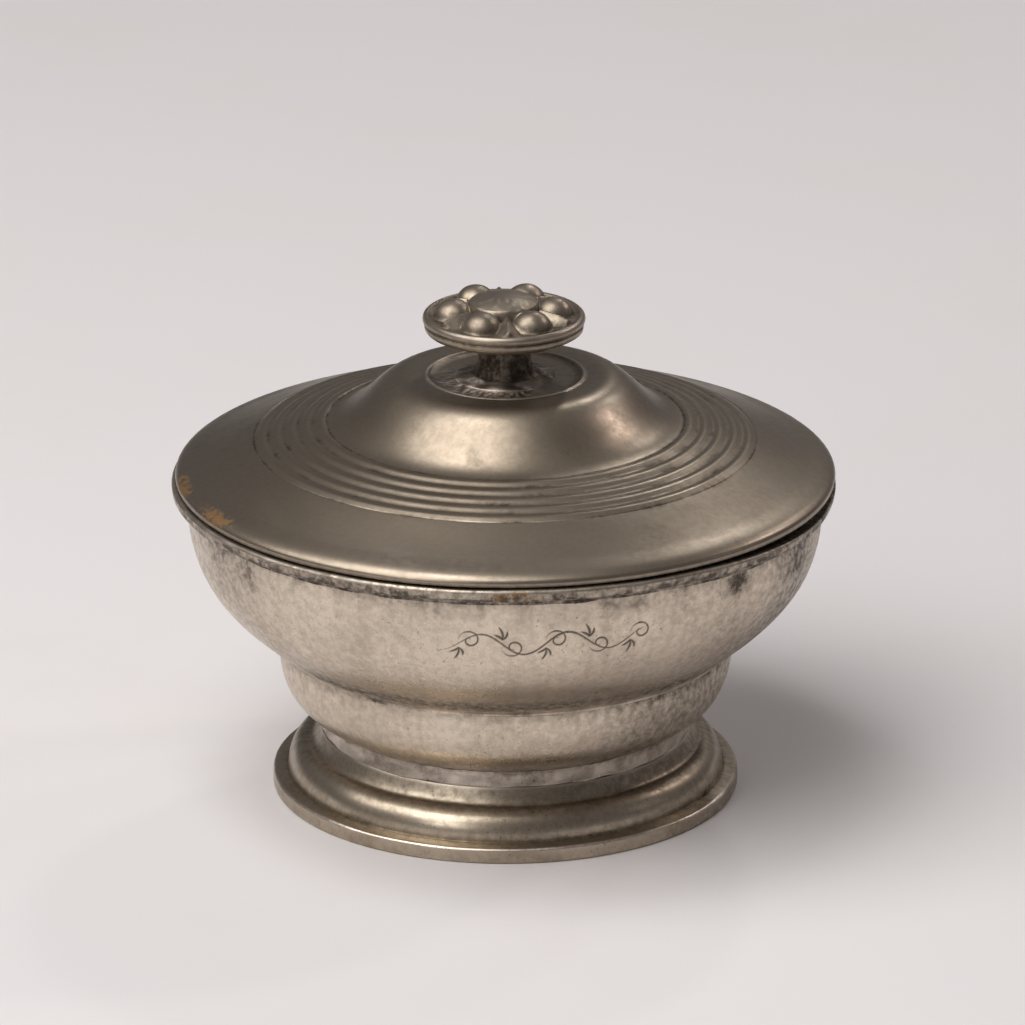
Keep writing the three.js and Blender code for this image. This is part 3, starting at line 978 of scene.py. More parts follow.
@dataclass
class Foot:
    """The foot: plate, groove, swelling, shelf, flare and lip, open underneath."""

    finish: bpy.types.Material
    solder: bpy.types.Material
    plate_height: float = 3.0
    groove_width: float = 2.9
    swell_width: float = 4.0
    shelf_height: float = 8.85
    lip_radius: float = 35.9
    bore_radius: float = 27.5
    wall: float = 1.9

    def build(self) -> list[bpy.types.Object]:
        """Makes the foot and the solder on it.

        Returns:
            The pieces.
        """
        return [self.ring(), self.solder_band()]

    def ring(self) -> bpy.types.Object:
        """The casting itself, worn at its edges and dark in its grooves.

        Returns:
            The piece.
        """
        radius, _, top = node_extent("foot_ring")
        groove = radius - self.groove_width
        shelf = groove - self.swell_width
        inner = groove - self.wall
        outline = (
            Outline()
            .line((inner, 0.0), spacing=3.0)
            .line((radius - 0.25, 0.0), (radius, 0.3), (radius, self.plate_height - 0.35))
            .line((radius - 0.3, self.plate_height), spacing=0.5)
            .line((groove + 0.25, self.plate_height + 0.3), spacing=0.7)
            .line((groove - 0.05, self.plate_height + 0.15), spacing=0.3)
            .arc((shelf, self.plate_height + 0.4), self.swell_width, 5.45, 0, 88, spacing=0.5)
            .line((shelf - 0.3, self.shelf_height), spacing=0.4)
            .bow((-0.8, 0.05), (0.75, -1.45), (self.lip_radius - 0.05, top - 0.1), spacing=0.3)
            .line((self.lip_radius - 0.15, top), spacing=0.3)
            .line((self.bore_radius, top), (self.bore_radius, top - self.wall), spacing=3.0)
            .bow((6.0, -2.0), (-1.2, 4.6), (inner, 0.0), spacing=2.0)
        )
        dents = Unevenness(11, 16, 9.0)
        dirt = Unevenness(12, 30, 6.0)

        def relief(a: Array, r: Array, z: Array) -> Array:
            """Dents all over but at the edge that stands on the table."""
            return 0.035 * dents.at(a, r + z) * ramp(z, 0.0, 1.0)

        def grime(a: Array, r: Array, z: Array) -> Array:
            """Dirt in the groove and inside, and painted shade under the lip and on the plate's
            right.

            Args:
                a: Azimuths in radians.
                r: Radii.
                z: Heights.

            Returns:
                The shares.
            """
            patchy = 0.75 + 0.35 * dirt.at(a, z)
            in_groove = bell(r, groove, 0.45) * bell(z, self.plate_height + 0.3, 0.7)
            # painted shade under the lip, patchy
            shade_under_lip = bell(z, 10.9, 0.9) * ramp(r, 34.0, 35.0) * ramp(r, 37.4, 36.2)
            underneath = 0.35 * ramp(r, inner + 0.6, inner - 0.6)
            # painted shade: the right side of the plate and swelling is darkened
            broad_darkening = 0.3 * ramp(turn_from(a, 0.0), 35.0, 75.0) * ramp(r, 41.0, 43.0)
            return patchy * (0.4 * in_groove + 0.1 * shade_under_lip) + underneath + broad_darkening

        def wear(a: Array, r: Array, z: Array) -> Array:
            """Rubbed edges of the plate and of the lip.

            Args:
                a: Azimuths in radians.
                r: Radii.
                z: Heights.

            Returns:
                The shares.
            """
            edge = bell(r, radius - 0.15, 0.22) * bell(z, self.plate_height - 0.15, 0.25)
            lip = bell(z, top, 0.3) * bell(r, self.lip_radius, 0.3)
            return edge * (0.65 + 0.3 * dirt.at(a, z)) + 0.5 * lip

        return TurnedPiece(
            "foot_casting",
            "foot_ring",
            Body.BOWL,
            "foot_pewter",
            outline.worn(0.13),
            even_turn(320),
            relief=relief,
            marks={Mark.GRIME_AND_SHADE: grime, Mark.WEAR: wear},
        ).build(self.finish)

    def solder_band(self) -> bpy.types.Object:
        """The uneven band of solder between the foot's lip and the belly.

        Returns:
            The piece.
        """
        _, low, high = node_extent("foot_solder")
        outline = (
            Outline()
            .line((30.5, low - 0.4), spacing=2.0)
            .line((35.7, low - 0.4), (35.8, low - 0.2), spacing=0.3)
            .bow((-0.3, 0.8), (-0.1, -0.8), (35.4, low + 2.75), spacing=0.3)
            .line((34.9, low + 2.6), (31.5, low + 0.9), spacing=0.6)
        )
        lumps = Unevenness(21, 40, 3.0)
        blotches = Unevenness(22, 26, 5.0)

        def relief(a: Array, r: Array, z: Array) -> Array:
            """Lumps all over."""
            return 0.09 * lumps.at(a, r + z)

        def grime(a: Array, r: Array, z: Array) -> Array:
            """Blotches, and more dirt at the upper edge."""
            top_edge = 0.3 * ramp(z, low + 1.4, low + 2.7)
            return 0.2 + 0.15 * blotches.at(a, z) + top_edge

        def wear(a: Array, r: Array, z: Array) -> Array:
            """Blotches that were scraped."""
            return 0.2 * ramp(blotches.at(a, 2 * z), 0.0, 1.0)

        return TurnedPiece(
            "foot_solder_band",
            "foot_solder",
            Body.BOWL,
            "solder",
            outline.worn(0.12),
            even_turn(320),
            relief=relief,
            marks={Mark.GRIME_AND_SHADE: grime, Mark.WEAR: wear},
        ).build(self.solder)


@dataclass
class Bowl:
    """The bowl: a belly, the seam round it, the wall above, the rim band and its solder."""

    finish: bpy.types.Material
    solder: bpy.types.Material
    base_radius: float = 30.0
    belly_radius: float = 43.9
    wall: float = 1.8
    seam_radius: float = 45.1
    seam_inner: float = 41.9
    wall_radius: float = 61.2
    upright: float = 4.5
    dip_azimuth: float = 64.0  # where the mouth has been knocked down
    dip_depth: float = 0.9
    dip_width: float = 16.0
    flourish: Flourish = field(default_factory=Flourish)

    def build(self) -> list[bpy.types.Object]:
        """Makes the five pieces of the bowl.

        Returns:
            The pieces.
        """
        return [self.belly(), self.seam(), self.upper_wall(), self.band(), self.band_solder()]

    def dip(self, azimuth: Array, radius: Array, height: Array) -> Array:
        """How far the mouth is knocked down: a bell of the azimuth that fades down the wall."""
        side = bell(turn_from(azimuth, self.dip_azimuth), 0.0, self.dip_width)
        return self.dip_depth * side * ramp(height, 47.0, 60.0)

    def belly(self) -> bpy.types.Object:
        """The lower half, from the flat base up to the seam.

        Returns:
            The piece.
        """
        _, low, high = node_extent("bowl_lower")
        floor = low + self.wall
        rise = high - 1.2 - low
        spread = self.belly_radius - self.base_radius
        inner_rise = high - 1.2 - floor
        inner_spread = self.seam_inner - self.base_radius + self.wall / 2
        outline = (
            Outline()
            .line((0.0, low), (self.base_radius, low), spacing=3.0)
            .bow(
                (spread * 0.39, rise * 0.21),
                (0.0, -rise * 0.75),
                (self.belly_radius, high - 1.2),
                spacing=0.6,
            )
            .line((self.belly_radius, high), spacing=0.5)
            .line((self.seam_inner, high), (self.seam_inner, high - 1.2), spacing=2.0)
            .bow(
                (0.0, -inner_rise * 0.75),
                (inner_spread * 0.5, inner_rise * 0.12),
                (self.base_radius - self.wall / 2, floor),
                spacing=1.5,
            )
            .line((0.0, floor), spacing=3.0)
        )
        dents = Unevenness(31, 12, 14.0)
        dirt = Unevenness(32, 34, 5.0)

        def relief(a: Array, r: Array, z: Array) -> Array:
            """Dents on the side, none on the base."""
            return 0.045 * dents.at(a, z) * ramp(r, 25.0, 35.0)

        def grime(a: Array, r: Array, z: Array) -> Array:
            """Painted shade on the underside over the foot and on the right side, and dirt under
            the seam.

            Args:
                a: Azimuths in radians.
                r: Radii.
                z: Heights.

            Returns:
                The shares.
            """
            outside = ramp(r, self.base_radius, self.base_radius + 3.0)
            # painted shade on the belly's underside, patchy
            underside_shade = bell(z, 15.6, 1.3) * outside * (0.42 + 0.2 * dirt.at(a, z))
            top = 0.3 * bell(z, 29.4, 0.8) * outside
            turn = turn_from(a, 0.0)
            # painted shade: the right side is darkened
            broad_darkening = 0.5 * ramp(turn, 10.0, 45.0) * ramp(turn, 175.0, 120.0) * outside
            return underside_shade + top + broad_darkening

        return TurnedPiece(
            "bowl_belly",
            "bowl_lower",
            Body.BOWL,
            "bowl_pewter",
            outline.worn(0.15),
            even_turn(300),
            relief=relief,
            marks={Mark.GRIME_AND_SHADE: grime},
        ).build(self.finish)

    def seam(self) -> bpy.types.Object:
        """The ring of solder in the seam, hollow outside and flush inside.

        Returns:
            The piece.
        """
        _, low, high = node_extent("bowl_seam_solder")
        outline = (
            Outline()
            .line((self.seam_inner - 0.04, low - 0.5), (self.belly_radius - 0.1, low - 0.65))
            .line((self.belly_radius + 0.03, low - 0.2), spacing=0.3)
            .bow((0.05, 0.5), (-0.45, -0.4), (self.seam_radius + 0.1, high + 0.38), spacing=0.2)
            .line((self.seam_radius - 0.4, high + 0.6), (self.seam_inner - 0.04, high + 0.5))
        )
        dents = Unevenness(31, 12, 14.0)
        dirt = Unevenness(35, 30, 4.0)

        def relief(a: Array, r: Array, z: Array) -> Array:
            """The belly's dents and small ones of its own."""
            return 0.02 * dents.at(a, z) + 0.015 * dirt.at(a, z)

        return TurnedPiece(
            "bowl_seam",
            "bowl_seam_solder",
            Body.BOWL,
            "solder",
            outline.worn(0.1),
            even_turn(300),
            relief=relief,
            marks={Mark.GRIME_AND_SHADE: dirt.about(0.3, 0.2)},
        ).build(self.finish)

    def skin(self, height: Array) -> Array:
        """The wall's outer radius at a height: the cubic curve that its outside follows.

        Args:
            height: Heights in millimetres.

        Returns:
            Radii in millimetres.
        """
        _, low, high = node_extent("bowl_upper")
        spread, rise = self.wall_radius - self.seam_radius, high - self.upright - low
        t = np.linspace(0.0, 1.0, 40)
        first, second, third = 3 * t * (1 - t) ** 2, 3 * t**2 * (1 - t), t**3
        radius = self.seam_radius + spread * (0.53 * first + second + third)
        level = low + rise * (0.26 * first + 0.46 * second + third)
        return np.interp(height, level, radius)

    def upper_wall(self) -> bpy.types.Object:
        """The upper half, with the vine cut into its front.

        Returns:
            The piece.
        """
        _, low, high = node_extent("bowl_upper")
        top = high - self.upright
        rise = top - low
        spread = self.wall_radius - self.seam_radius
        mouth = self.wall_radius - self.wall
        inner_spread = mouth - self.seam_inner
        outline = (
            Outline()
            .line((self.seam_inner, low), (self.seam_radius, low), spacing=1.0)
            .bow(
                (spread * 0.53, rise * 0.26),
                (0.0, -rise * 0.54),
                (self.wall_radius, top),
                spacing=0.9,
            )
            .line((self.wall_radius, high), (mouth, high), (mouth, top), spacing=1.0)
            .bow(
                (0.0, -rise * 0.54),
                (inner_spread * 0.53, rise * 0.26),
                (self.seam_inner, low),
                spacing=2.2,
            )
        )
        zone = 6.0  # above and below the vine's middle, where the mesh is fine
        outside_points = len(outline.points) // 2
        for i, (r, z) in enumerate(outline.points[:outside_points]):
            if r > 50.0 and abs(z - self.flourish.height) < zone:
                outline.spacings[i] = 0.15
        dents = Unevenness(41, 11, 20.0)
        dirt = Unevenness(42, 60, 30.0, waves=34)
        low_dirt = Unevenness(43, 14, 30.0)
        patches = (
            Patch(46.0, 56.4, 3.0, 1.6, 0.95),
            Patch(64.0, 54.5, 2.2, 1.6, 0.8),
            Patch(24.0, 57.0, 2.5, 1.0, 0.8),
            Patch(-52.0, 55.0, 3.5, 2.0, 0.4),
        )

        def relief(a: Array, r: Array, z: Array) -> Array:
            """Dents on the outside, less the cuts of the vine.

            Args:
                a: Azimuths in radians.
                r: Radii.
                z: Heights.

            Returns:
                Millimetres outwards.
            """
            outside = ramp(r, 50.0, 54.0)
            cut = self.flourish.depth * self.flourish.share(a, r, z)
            return 0.06 * dents.at(a, z) * outside - cut

        def grime(a: Array, r: Array, z: Array) -> Array:
            """Dirt that hangs from the band and in spots, a little dirt all round the hollow over
            the seam with painted shade in it in front, and painted shade on both sides.

            Args:
                a: Azimuths in radians.
                r: Radii.
                z: Heights.

            Returns:
                The shares.
            """
            outside = ramp(r - self.skin(z), -0.9, -0.3)
            reach = 1.3 + 0.9 * dirt.at(a, 0.0) + 0.9 * low_dirt.at(a, 0.0)
            under_band = np.exp(-np.clip(59.6 - z, 0.0, 99.0) / np.clip(reach, 0.7, 9.0))
            spots = sum(p.on(a, z) for p in patches)
            turn = turn_from(a, 0.0)
            front = ramp(turn, -56.0, -45.0) * ramp(turn, 60.0, 40.0)
            # painted shade: a dark crescent in the hollow over the seam, in front, on a little dirt
            # all round
            dirt_and_shade_in_hollow = (0.1 + 0.7 * front) * bell(z, low + 1.7, 1.7)
            # painted shade: the right side darkened strongly and the left side less
            broad_darkening = 0.62 * ramp(turn, 28.0, 58.0) * ramp(turn, 175.0, 120.0)
            broad_darkening = broad_darkening + 0.28 * ramp(turn, -28.0, -60.0)
            uneven = 0.8 + 0.25 * low_dirt.at(a, 0.5 * z)
            marks = 0.8 * under_band + spots * (0.7 + 0.4 * dirt.at(a, z))
            return outside * (marks + dirt_and_shade_in_hollow + broad_darkening * uneven)

        return TurnedPiece(
            "bowl_wall",
            "bowl_upper",
            Body.BOWL,
            "bowl_pewter",
            outline.worn(0.12),
            focused_turn(-14.0, 28.5, 0.13, 2.0),
            relief=relief,
            settling=self.dip,
            marks={Mark.GRIME_AND_SHADE: grime, Mark.CUT: self.flourish.share},
        ).build(self.finish)

    def band(self) -> bpy.types.Object:
        """The half-round band that stiffens the mouth.

        Returns:
            The piece.
        """
        radius, low, high = node_extent("rim_band")
        bore = self.wall_radius - 0.05
        outline = (
            Outline()
            .line((bore, low), (radius - 1.1, low), spacing=0.6)
            .arc((radius - 1.1, low + 1.1), 1.0, 1.1, -90, -10, spacing=0.3)
            .arc((radius - 0.75, high - 0.75), 0.75, 0.75, 0, 90, spacing=0.3)
            .line((bore, high), spacing=0.8)
        )
        dents = Unevenness(51, 26, 12.0)
        dirt = Unevenness(52, 44, 3.0)
        rust = Patch(1.5, 61.1, 2.6, 0.7)

        def relief(a: Array, r: Array, z: Array) -> Array:
            """Dents, and the stretch on the right that is pushed in."""
            pushed_in = 0.7 * bell(turn_from(a, 92.0), 0.0, 24.0)
            return (0.03 * (dents.at(a, z) - 2.0) - pushed_in) * ramp(r, bore, bore + 1.0)

        def grime(a: Array, r: Array, z: Array) -> Array:
            """A coat of dirt all over, a little painted shade on the right, and more inside the lid
            and at the lower edge.

            Args:
                a: Azimuths in radians.
                r: Radii.
                z: Heights.

            Returns:
                The shares.
            """
            inside = bell(z, high, 0.3) * ramp(r, radius - 0.8, radius - 1.6)
            # a coat of dirt, with painted shade making the right side a little darker
            broad_darkening = 0.8 + 0.14 * dirt.at(a, z) + 0.1 * ramp(turn_from(a, 0.0), 25.0, 70.0)
            return broad_darkening + 0.6 * inside + bell(z, low - 0.1, 0.4) * (0.6 + 0.3 * dirt.at(a, z))

        def wear(a: Array, r: Array, z: Array) -> Array:
            """The rubbed upper edge."""
            edge = bell(z, high - 0.35, 0.3) * ramp(r, radius - 0.9, radius - 0.2)
            return edge * (0.25 + 0.25 * dirt.at(a, z))

        def stain(a: Array, r: Array, z: Array) -> Array:
            """The rust spot in front."""
            return rust.on(a, z)

        return TurnedPiece(
            "rim_hoop",
            "rim_band",
            Body.BOWL,
            "bowl_pewter",
            outline.worn(0.1),
            even_turn(400),
            relief=relief,
            settling=self.dip,
            marks={Mark.GRIME_AND_SHADE: grime, Mark.WEAR: wear, Mark.STAIN: stain},
        ).build(self.finish)

    def band_solder(self) -> bpy.types.Object:
        """The grimy solder in the corner under the band.

        Returns:
            The piece.
        """
        _, low, high = node_extent("rim_solder")
        corner = self.wall_radius - 0.15
        outline = (
            Outline()
            .line((corner, high + 0.5), (corner, low - 0.1), spacing=0.6)
            .line((corner + 0.25, low + 0.1), spacing=0.3)
            .bow((0.02, 0.5), (-0.5, -0.05), (corner + 1.35, high + 0.22), spacing=0.25)
            .line((corner + 1.35, high + 0.5), spacing=0.4)
        )
        lumps = Unevenness(55, 60, 2.0, waves=30)
        return TurnedPiece(
            "rim_fillet",
            "rim_solder",
            Body.BOWL,
            "solder",
            outline.worn(0.08),
            even_turn(400),
            relief=lumps.about(0.0, 0.05),
            settling=self.dip,
            marks={Mark.GRIME_AND_SHADE: lumps.about(0.85, 0.3)},
        ).build(self.solder)


@dataclass
class Lid:
    """The lid: knob seat, ridge, dome, reeds, shoulder and rolled edge, with its bezel."""

    finish: bpy.types.Material
    solder: bpy.types.Material
    wall: float = 1.6
    land: float = 3.4
    brow_width: float = 5.8
    brow_height: float = 3.75
    edge_height: float = 0.6
    reeds: int = 5
    reed_radius: float = 48.4
    reed_height: float = 7.5
    reed_crest: float = 0.3
    dome_radius: float = 34.3
    dome_foot: float = 11.1
    crown_radius: float = 19.0
    crown_height: float = 20.3
    ridge_radius: float = 15.05
    seat_dish: float = 0.4

    def build(self) -> list[bpy.types.Object]:
        """Makes the lid's cover, bezel and solder.

        Returns:
            The pieces.
        """
        return [self.cover(), self.bezel(), self.bezel_fillet()]

    def reeded(self, seat: float) -> list[Point]:
        """The reeds from the outside in, waves on a cone, with a cut on each side of them.

        Each wave is a mixture of half a sine and its square, so that the valleys stay soft.

        Args:
            seat: The height of the face that rests on the rim.

        Returns:
            The points of the outline.
        """
        share = np.linspace(0.0, 1.0, self.reeds * 24 + 1)
        half_sine = np.abs(np.sin(math.pi * self.reeds * share))
        crest = self.reed_crest * (0.25 * half_sine + 0.75 * half_sine**2)
        radius = self.reed_radius + share * (self.dome_radius - self.reed_radius)
        height = self.reed_height + share * (self.dome_foot - self.reed_height) + crest
        groove = 0.14 * bell(share, 0.0, 0.006) + 0.22 * bell(share, 1.0, 0.010)
        return list(zip(radius, seat + height - groove))

    def cover(self) -> bpy.types.Object:
        """The cover itself, hollow underneath.

        Returns:
            The piece.
        """
        radius, seat, _ = node_extent("lid_cover")
        crown = seat + self.crown_height
        knob_seat = crown - self.seat_dish
        dome_foot = seat + self.dome_foot
        reed_top = seat + self.reed_height
        brow = (radius - self.brow_width, seat + self.brow_height)
        edge = (radius, seat + self.edge_height)
        ceiling = knob_seat - self.wall
        land = radius - self.land
        width = self.dome_radius - self.crown_radius
        drop = crown - dome_foot
        run = brow[0] - self.reed_radius
        fall = reed_top - brow[1]
        roll = brow[1] - edge[1]
        outline = (
            Outline()
            .line((0.0, ceiling), (17.4, ceiling), spacing=2.5)
            .bow(
                (width * 0.41, 0.0), (-width * 0.45, drop * 0.19), (33.2, dome_foot - 1.5),
                spacing=2.0,
            )
            .line((47.6, reed_top - 1.6), spacing=2.5)
            .bow((3.0, -1.5), (-4.0, 1.2), (land - 0.8, seat + 1.5), spacing=2.0)
            .line((land, seat + 1.2), (land, seat), spacing=1.2)
            .line((radius - 0.15, seat), edge, spacing=0.8)
            .bow((0.0, roll * 0.5), (self.brow_width * 0.5, -roll * 0.36), brow, spacing=0.4)
            .bow(
                (-run * 0.34, fall * 0.32),
                (run * 0.31, -fall * 0.31),
                (self.reed_radius, reed_top),
                spacing=0.8,
            )
            .line(*self.reeded(seat), spacing=0.3)
            .bow((-width * 0.45, drop * 0.19), (width * 0.41, 0.0), (19.0, crown), spacing=0.7)
            .line((self.ridge_radius + 0.7, crown - 0.04), spacing=0.3)
            .arc((self.ridge_radius, crown - 0.05), 0.36, 0.24, 20, 160, spacing=0.15)
            .line((self.ridge_radius - 0.7, crown - 0.2), spacing=0.3)
            .line((self.ridge_radius - 1.7, knob_seat), (0.0, knob_seat), spacing=1.2)
        )
        dents = Unevenness(61, 9, 26.0)
        dirt = Unevenness(62, 26, 7.0)
        fine_dirt = Unevenness(63, 70, 3.0, waves=30)
        rust = (
            Patch(-81.0, 62.4, 2.2, 0.8),
            Patch(-76.5, 62.6, 1.8, 0.7),
            Patch(-63.0, 62.3, 2.6, 0.9),
            Patch(-58.5, 62.2, 2.0, 0.8),
        )

        def top_side(z: Array, r: Array) -> Array:
            """1 on the upper side and 0 underneath, by a line inside the wall."""
            middle = np.interp(r, (17.4, 33.2, 47.6, 60.1), (81.4, 72.8, 69.0, 64.0))
            return ramp(z - middle, 0.0, 0.4)

        def relief(a: Array, r: Array, z: Array) -> Array:
            """Dents on the upper side, none in the seat of the knob."""
            return 0.02 * dents.at(a, r) * ramp(r, 12.0, 24.0) * top_side(z, r)

        def grime(a: Array, r: Array, z: Array) -> Array:
            """Dirt between the reeds, in the two cut lines, at the edge and in the seat.

            Args:
                a: Azimuths in radians.
                r: Radii.
                z: Heights.

            Returns:
                The shares.
            """
            share = (self.reed_radius - r) / (self.reed_radius - self.dome_radius)
            inside = ramp(share, -0.02, 0.02) * ramp(share, 1.03, 0.99)
            valley = 1.0 - np.abs(np.sin(math.pi * self.reeds * share))
            in_reeds = inside * valley * (0.35 + 0.25 * dirt.at(a, r))
            cut_line = bell(r, self.reed_radius, 0.12) * (0.5 + 0.4 * dirt.at(a, r))
            foot_line = 0.9 * bell(r, self.dome_radius + 0.05, 0.16)
            edge_line = 0.5 * bell(z, seat, 0.3)
            seat_dirt = 0.42 * ramp(r, 13.0, 5.0) + 0.4 * bell(r, self.ridge_radius - 0.9, 0.5)
            broad_darkening = 0.16 * ramp(dirt.at(a, r), 0.2, 1.4)
            return top_side(z, r) * (in_reeds + cut_line + foot_line + seat_dirt + broad_darkening) + edge_line

        def wear(a: Array, r: Array, z: Array) -> Array:
            """The rubbed edge and ridge, and the solder scraped across the seat.

            Args:
                a: Azimuths in radians.
                r: Radii.
                z: Heights.

            Returns:
                The shares.
            """
            edge = bell(z, seat + 0.9, 0.6) * ramp(r, radius - 0.8, radius - 0.2)
            ridge = bell(r, self.ridge_radius, 0.22)
            smear = ramp(fine_dirt.at(a + 0.12 * r, r), -0.5, 0.5) * bell(r, 10.2, 2.3)
            front = bell(turn_from(a, -34.0), 0.0, 42.0)
            rubbed = bell(turn_from(a, -14.0), 0.0, 16.0) * bell(r, 60.0, 2.0)
            return top_side(z, r) * (
                0.1 * edge + 0.25 * ridge + 1.1 * smear * front + 0.1 * rubbed
            )

        def stain(a: Array, r: Array, z: Array) -> Array:
            """The rust spots on the left."""
            return sum(p.on(a, r) for p in rust) * ramp(z, seat + 0.3, seat + 1.0)

        return TurnedPiece(
            "lid_shell",
            "lid_cover",
            Body.LID,
            "lid_pewter",
            outline.worn(0.075, sharpest=11.0),
            even_turn(300),
            relief=relief,
            marks={Mark.GRIME_AND_SHADE: grime, Mark.WEAR: wear, Mark.STAIN: stain},
        ).build(self.finish)

    def bezel(self) -> bpy.types.Object:
        """The hoop under the lid that drops into the mouth.

        Returns:
            The piece.
        """
        radius, low, high = node_extent("lid_bezel")
        inner = radius - self.wall
        outline = (
            Outline()
            .line((inner, low + 0.4), (inner + 0.4, low), (radius - 0.4, low), spacing=0.8)
            .line((radius, low + 0.4), (radius, high + 0.3), (inner, high + 0.7), spacing=2.0)
        )
        dents = Unevenness(71, 14, 12.0)
        dirt = Unevenness(72, 30, 5.0)
        return TurnedPiece(
            "lid_hoop",
            "lid_bezel",
            Body.LID,
            "lid_pewter",
            outline.worn(0.1),
            even_turn(240),
            relief=dents.about(0.0, 0.03),
            marks={Mark.GRIME_AND_SHADE: dirt.about(0.15, 0.2)},
        ).build(self.finish)

    def bezel_fillet(self) -> bpy.types.Object:
        """The solder in the corner between the bezel and the lid.

        Returns:
            The piece.
        """
        radius, low, high = node_extent("bezel_solder")
        outline = (
            Outline()
            .line((radius + 0.4, high + 0.2), (radius - 1.8, high + 0.4), spacing=0.8)
            .line((radius - 1.7, high - 0.2), spacing=0.4)
            .bow((0.8, -0.25), (0.0, 0.8), (radius + 0.2, low), spacing=0.3)
            .line((radius + 0.4, low - 0.1), spacing=0.6)
        )
        lumps = Unevenness(75, 50, 3.0)
        return TurnedPiece(
            "lid_fillet",
            "bezel_solder",
            Body.LID,
            "solder",
            outline.worn(0.1),
            even_turn(240),
            relief=lumps.about(0.0, 0.06),
            marks={Mark.GRIME_AND_SHADE: lumps.about(0.3, 0.2)},
        ).build(self.solder)


@dataclass
class Knob:
    """The knob: a flared stem, the solder smeared round it, a saucer and a rosette."""

    finish: bpy.types.Material
    solder: bpy.types.Material
    stem_radius: float = 5.0
    stem_flare: float = 2.2
    lean_across: float = -0.34  # how far the top stands to the right of the foot
    bead_width: float = 1.6
    bead_height: float = 0.95
    bead_rise: float = 0.62  # of its widest line above the underside of the plate
    plate_height: float = 1.2
    petals: int = 6
    petal_turn: float = -26.0  # azimuth of the first petal
    petal_circle: float = 9.6
    petal_radius: float = 3.85
    petal_height: float = 3.3
    leaf_start: float = 6.2
    leaf_tip: float = 14.3
    leaf_width: float = 2.5
    leaf_height: float = 2.3
    boss_radius: float = 7.2
    boss_side: float = 2.3
    boss_crown: float = 1.97
    blend_power: float = 6.0  # how tightly neighbours run into each other

    def build(self) -> list[bpy.types.Object]:
        """Makes the four pieces of the knob.

        Returns:
            The pieces.
        """
        return [self.stem(), self.smear(), self.saucer(), self.rosette()]

    def lean(self, height: Array) -> Array:
        """The shift across at a height, even from the stem's foot to the knob's top.

        Args:
            height: Heights in millimetres.

        Returns:
            The shifts to the right.
        """
        _, low, _ = node_extent("knob_stem")
        _, _, high = node_extent("knob_rosette")
        return self.lean_across * np.clip((height - low) / (high - low), 0.0, 1.0)

    def stem(self) -> bpy.types.Object:
        """The stem, flared at its foot and grimy.

        Returns:
            The piece.
        """
        _, low, high = node_extent("knob_stem")
        foot = self.stem_radius + self.stem_flare
        outline = (
            Outline()
            .line((0.0, low - 0.4), (foot + 0.2, low - 0.4), spacing=2.0)
            .line((foot, low), spacing=0.4)
            .bow((-1.5, 0.45), (0.0, -2.6), (self.stem_radius, low + 4.4), spacing=0.4)
            .line((self.stem_radius, high - 0.6), spacing=0.6)
            .bow((0.0, 0.5), (-0.4, 0.0), (self.stem_radius + 0.8, high + 0.5), spacing=0.3)
            .line((0.0, high + 0.5), spacing=2.0)
        )
        dents = Unevenness(81, 7, 5.0)
        dirt = Unevenness(82, 9, 6.0)

        def relief(a: Array, r: Array, z: Array) -> Array:
            """Dents on the side, none at the ends."""
            return 0.07 * dents.at(a, z) * ramp(r, 2.0, 4.5)

        def wear(a: Array, r: Array, z: Array) -> Array:
            """A few upright streaks."""
            return 0.1 * ramp(dirt.at(3.0 * a, 0.3 * z), 1.0, 1.4)

        return TurnedPiece(
            "knob_post",
            "knob_stem",
            Body.LID,
            "knob_pewter",
            outline.worn(0.12),
            even_turn(120),
            relief=relief,
            marks={Mark.GRIME_AND_SHADE: dirt.about(1.0, 0.15), Mark.WEAR: wear},
            lean=self.lean,
        ).build(self.finish)

    def smear(self) -> bpy.types.Object:
        """The solder round the stem, drawn out to the front left and scraped bright.

        Returns:
            The piece.
        """
        _, low, high = node_extent("knob_solder")
        inner = self.stem_radius + self.stem_flare
        outer = inner + 2.0
        outline = (
            Outline()
            .line((inner - 1.4, low - 0.5), (outer + 0.6, low - 0.5), spacing=0.8)
            .line((outer + 0.5, low - 0.28), spacing=0.3)
            .bow((-0.9, 0.12), (0.7, -0.2), (inner - 0.6, high - 0.25), spacing=0.25)
            .line((inner - 1.4, high - 0.25), spacing=0.6)
        )
        lumps = Unevenness(91, 15, 2.5, waves=26)
        shape = Unevenness(92, 6, 40.0)

        def relief(a: Array, r: Array, z: Array) -> Array:
            """A swelling to the front left, and small lumps.

            Args:
                a: Azimuths in radians.
                r: Radii.
                z: Heights.

            Returns:
                Millimetres outwards.
            """
            drawn = 1.5 * bell(turn_from(a, -30.0), 0.0, 30.0) + 0.5 * shape.at(a, 0.0)
            outside = ramp(r, inner, outer) * ramp(z, low - 0.45, low - 0.2)
            return outside * (0.3 * drawn) + 0.03 * lumps.at(a, 0.5 * r)

        def wear(a: Array, r: Array, z: Array) -> Array:
            """The scraped patches in front."""
            front = bell(turn_from(a, -28.0), 0.0, 44.0)
            return front * ramp(lumps.at(a, 0.5 * r), -0.9, 0.2) * ramp(z, high, low + 0.4)

        def grime(a: Array, r: Array, z: Array) -> Array:
            """Dirt against the stem and all over behind."""
            behind = 0.9 * ramp(np.abs(turn_from(a, -28.0)), 40.0, 75.0)
            return 0.5 * ramp(z, low + 0.3, high) + behind

        return TurnedPiece(
            "knob_smear",
            "knob_solder",
            Body.LID,
            "solder",
            outline.worn(0.1),
            even_turn(180),
            relief=relief,
            marks={Mark.WEAR: wear, Mark.GRIME_AND_SHADE: grime},
        ).build(self.solder)

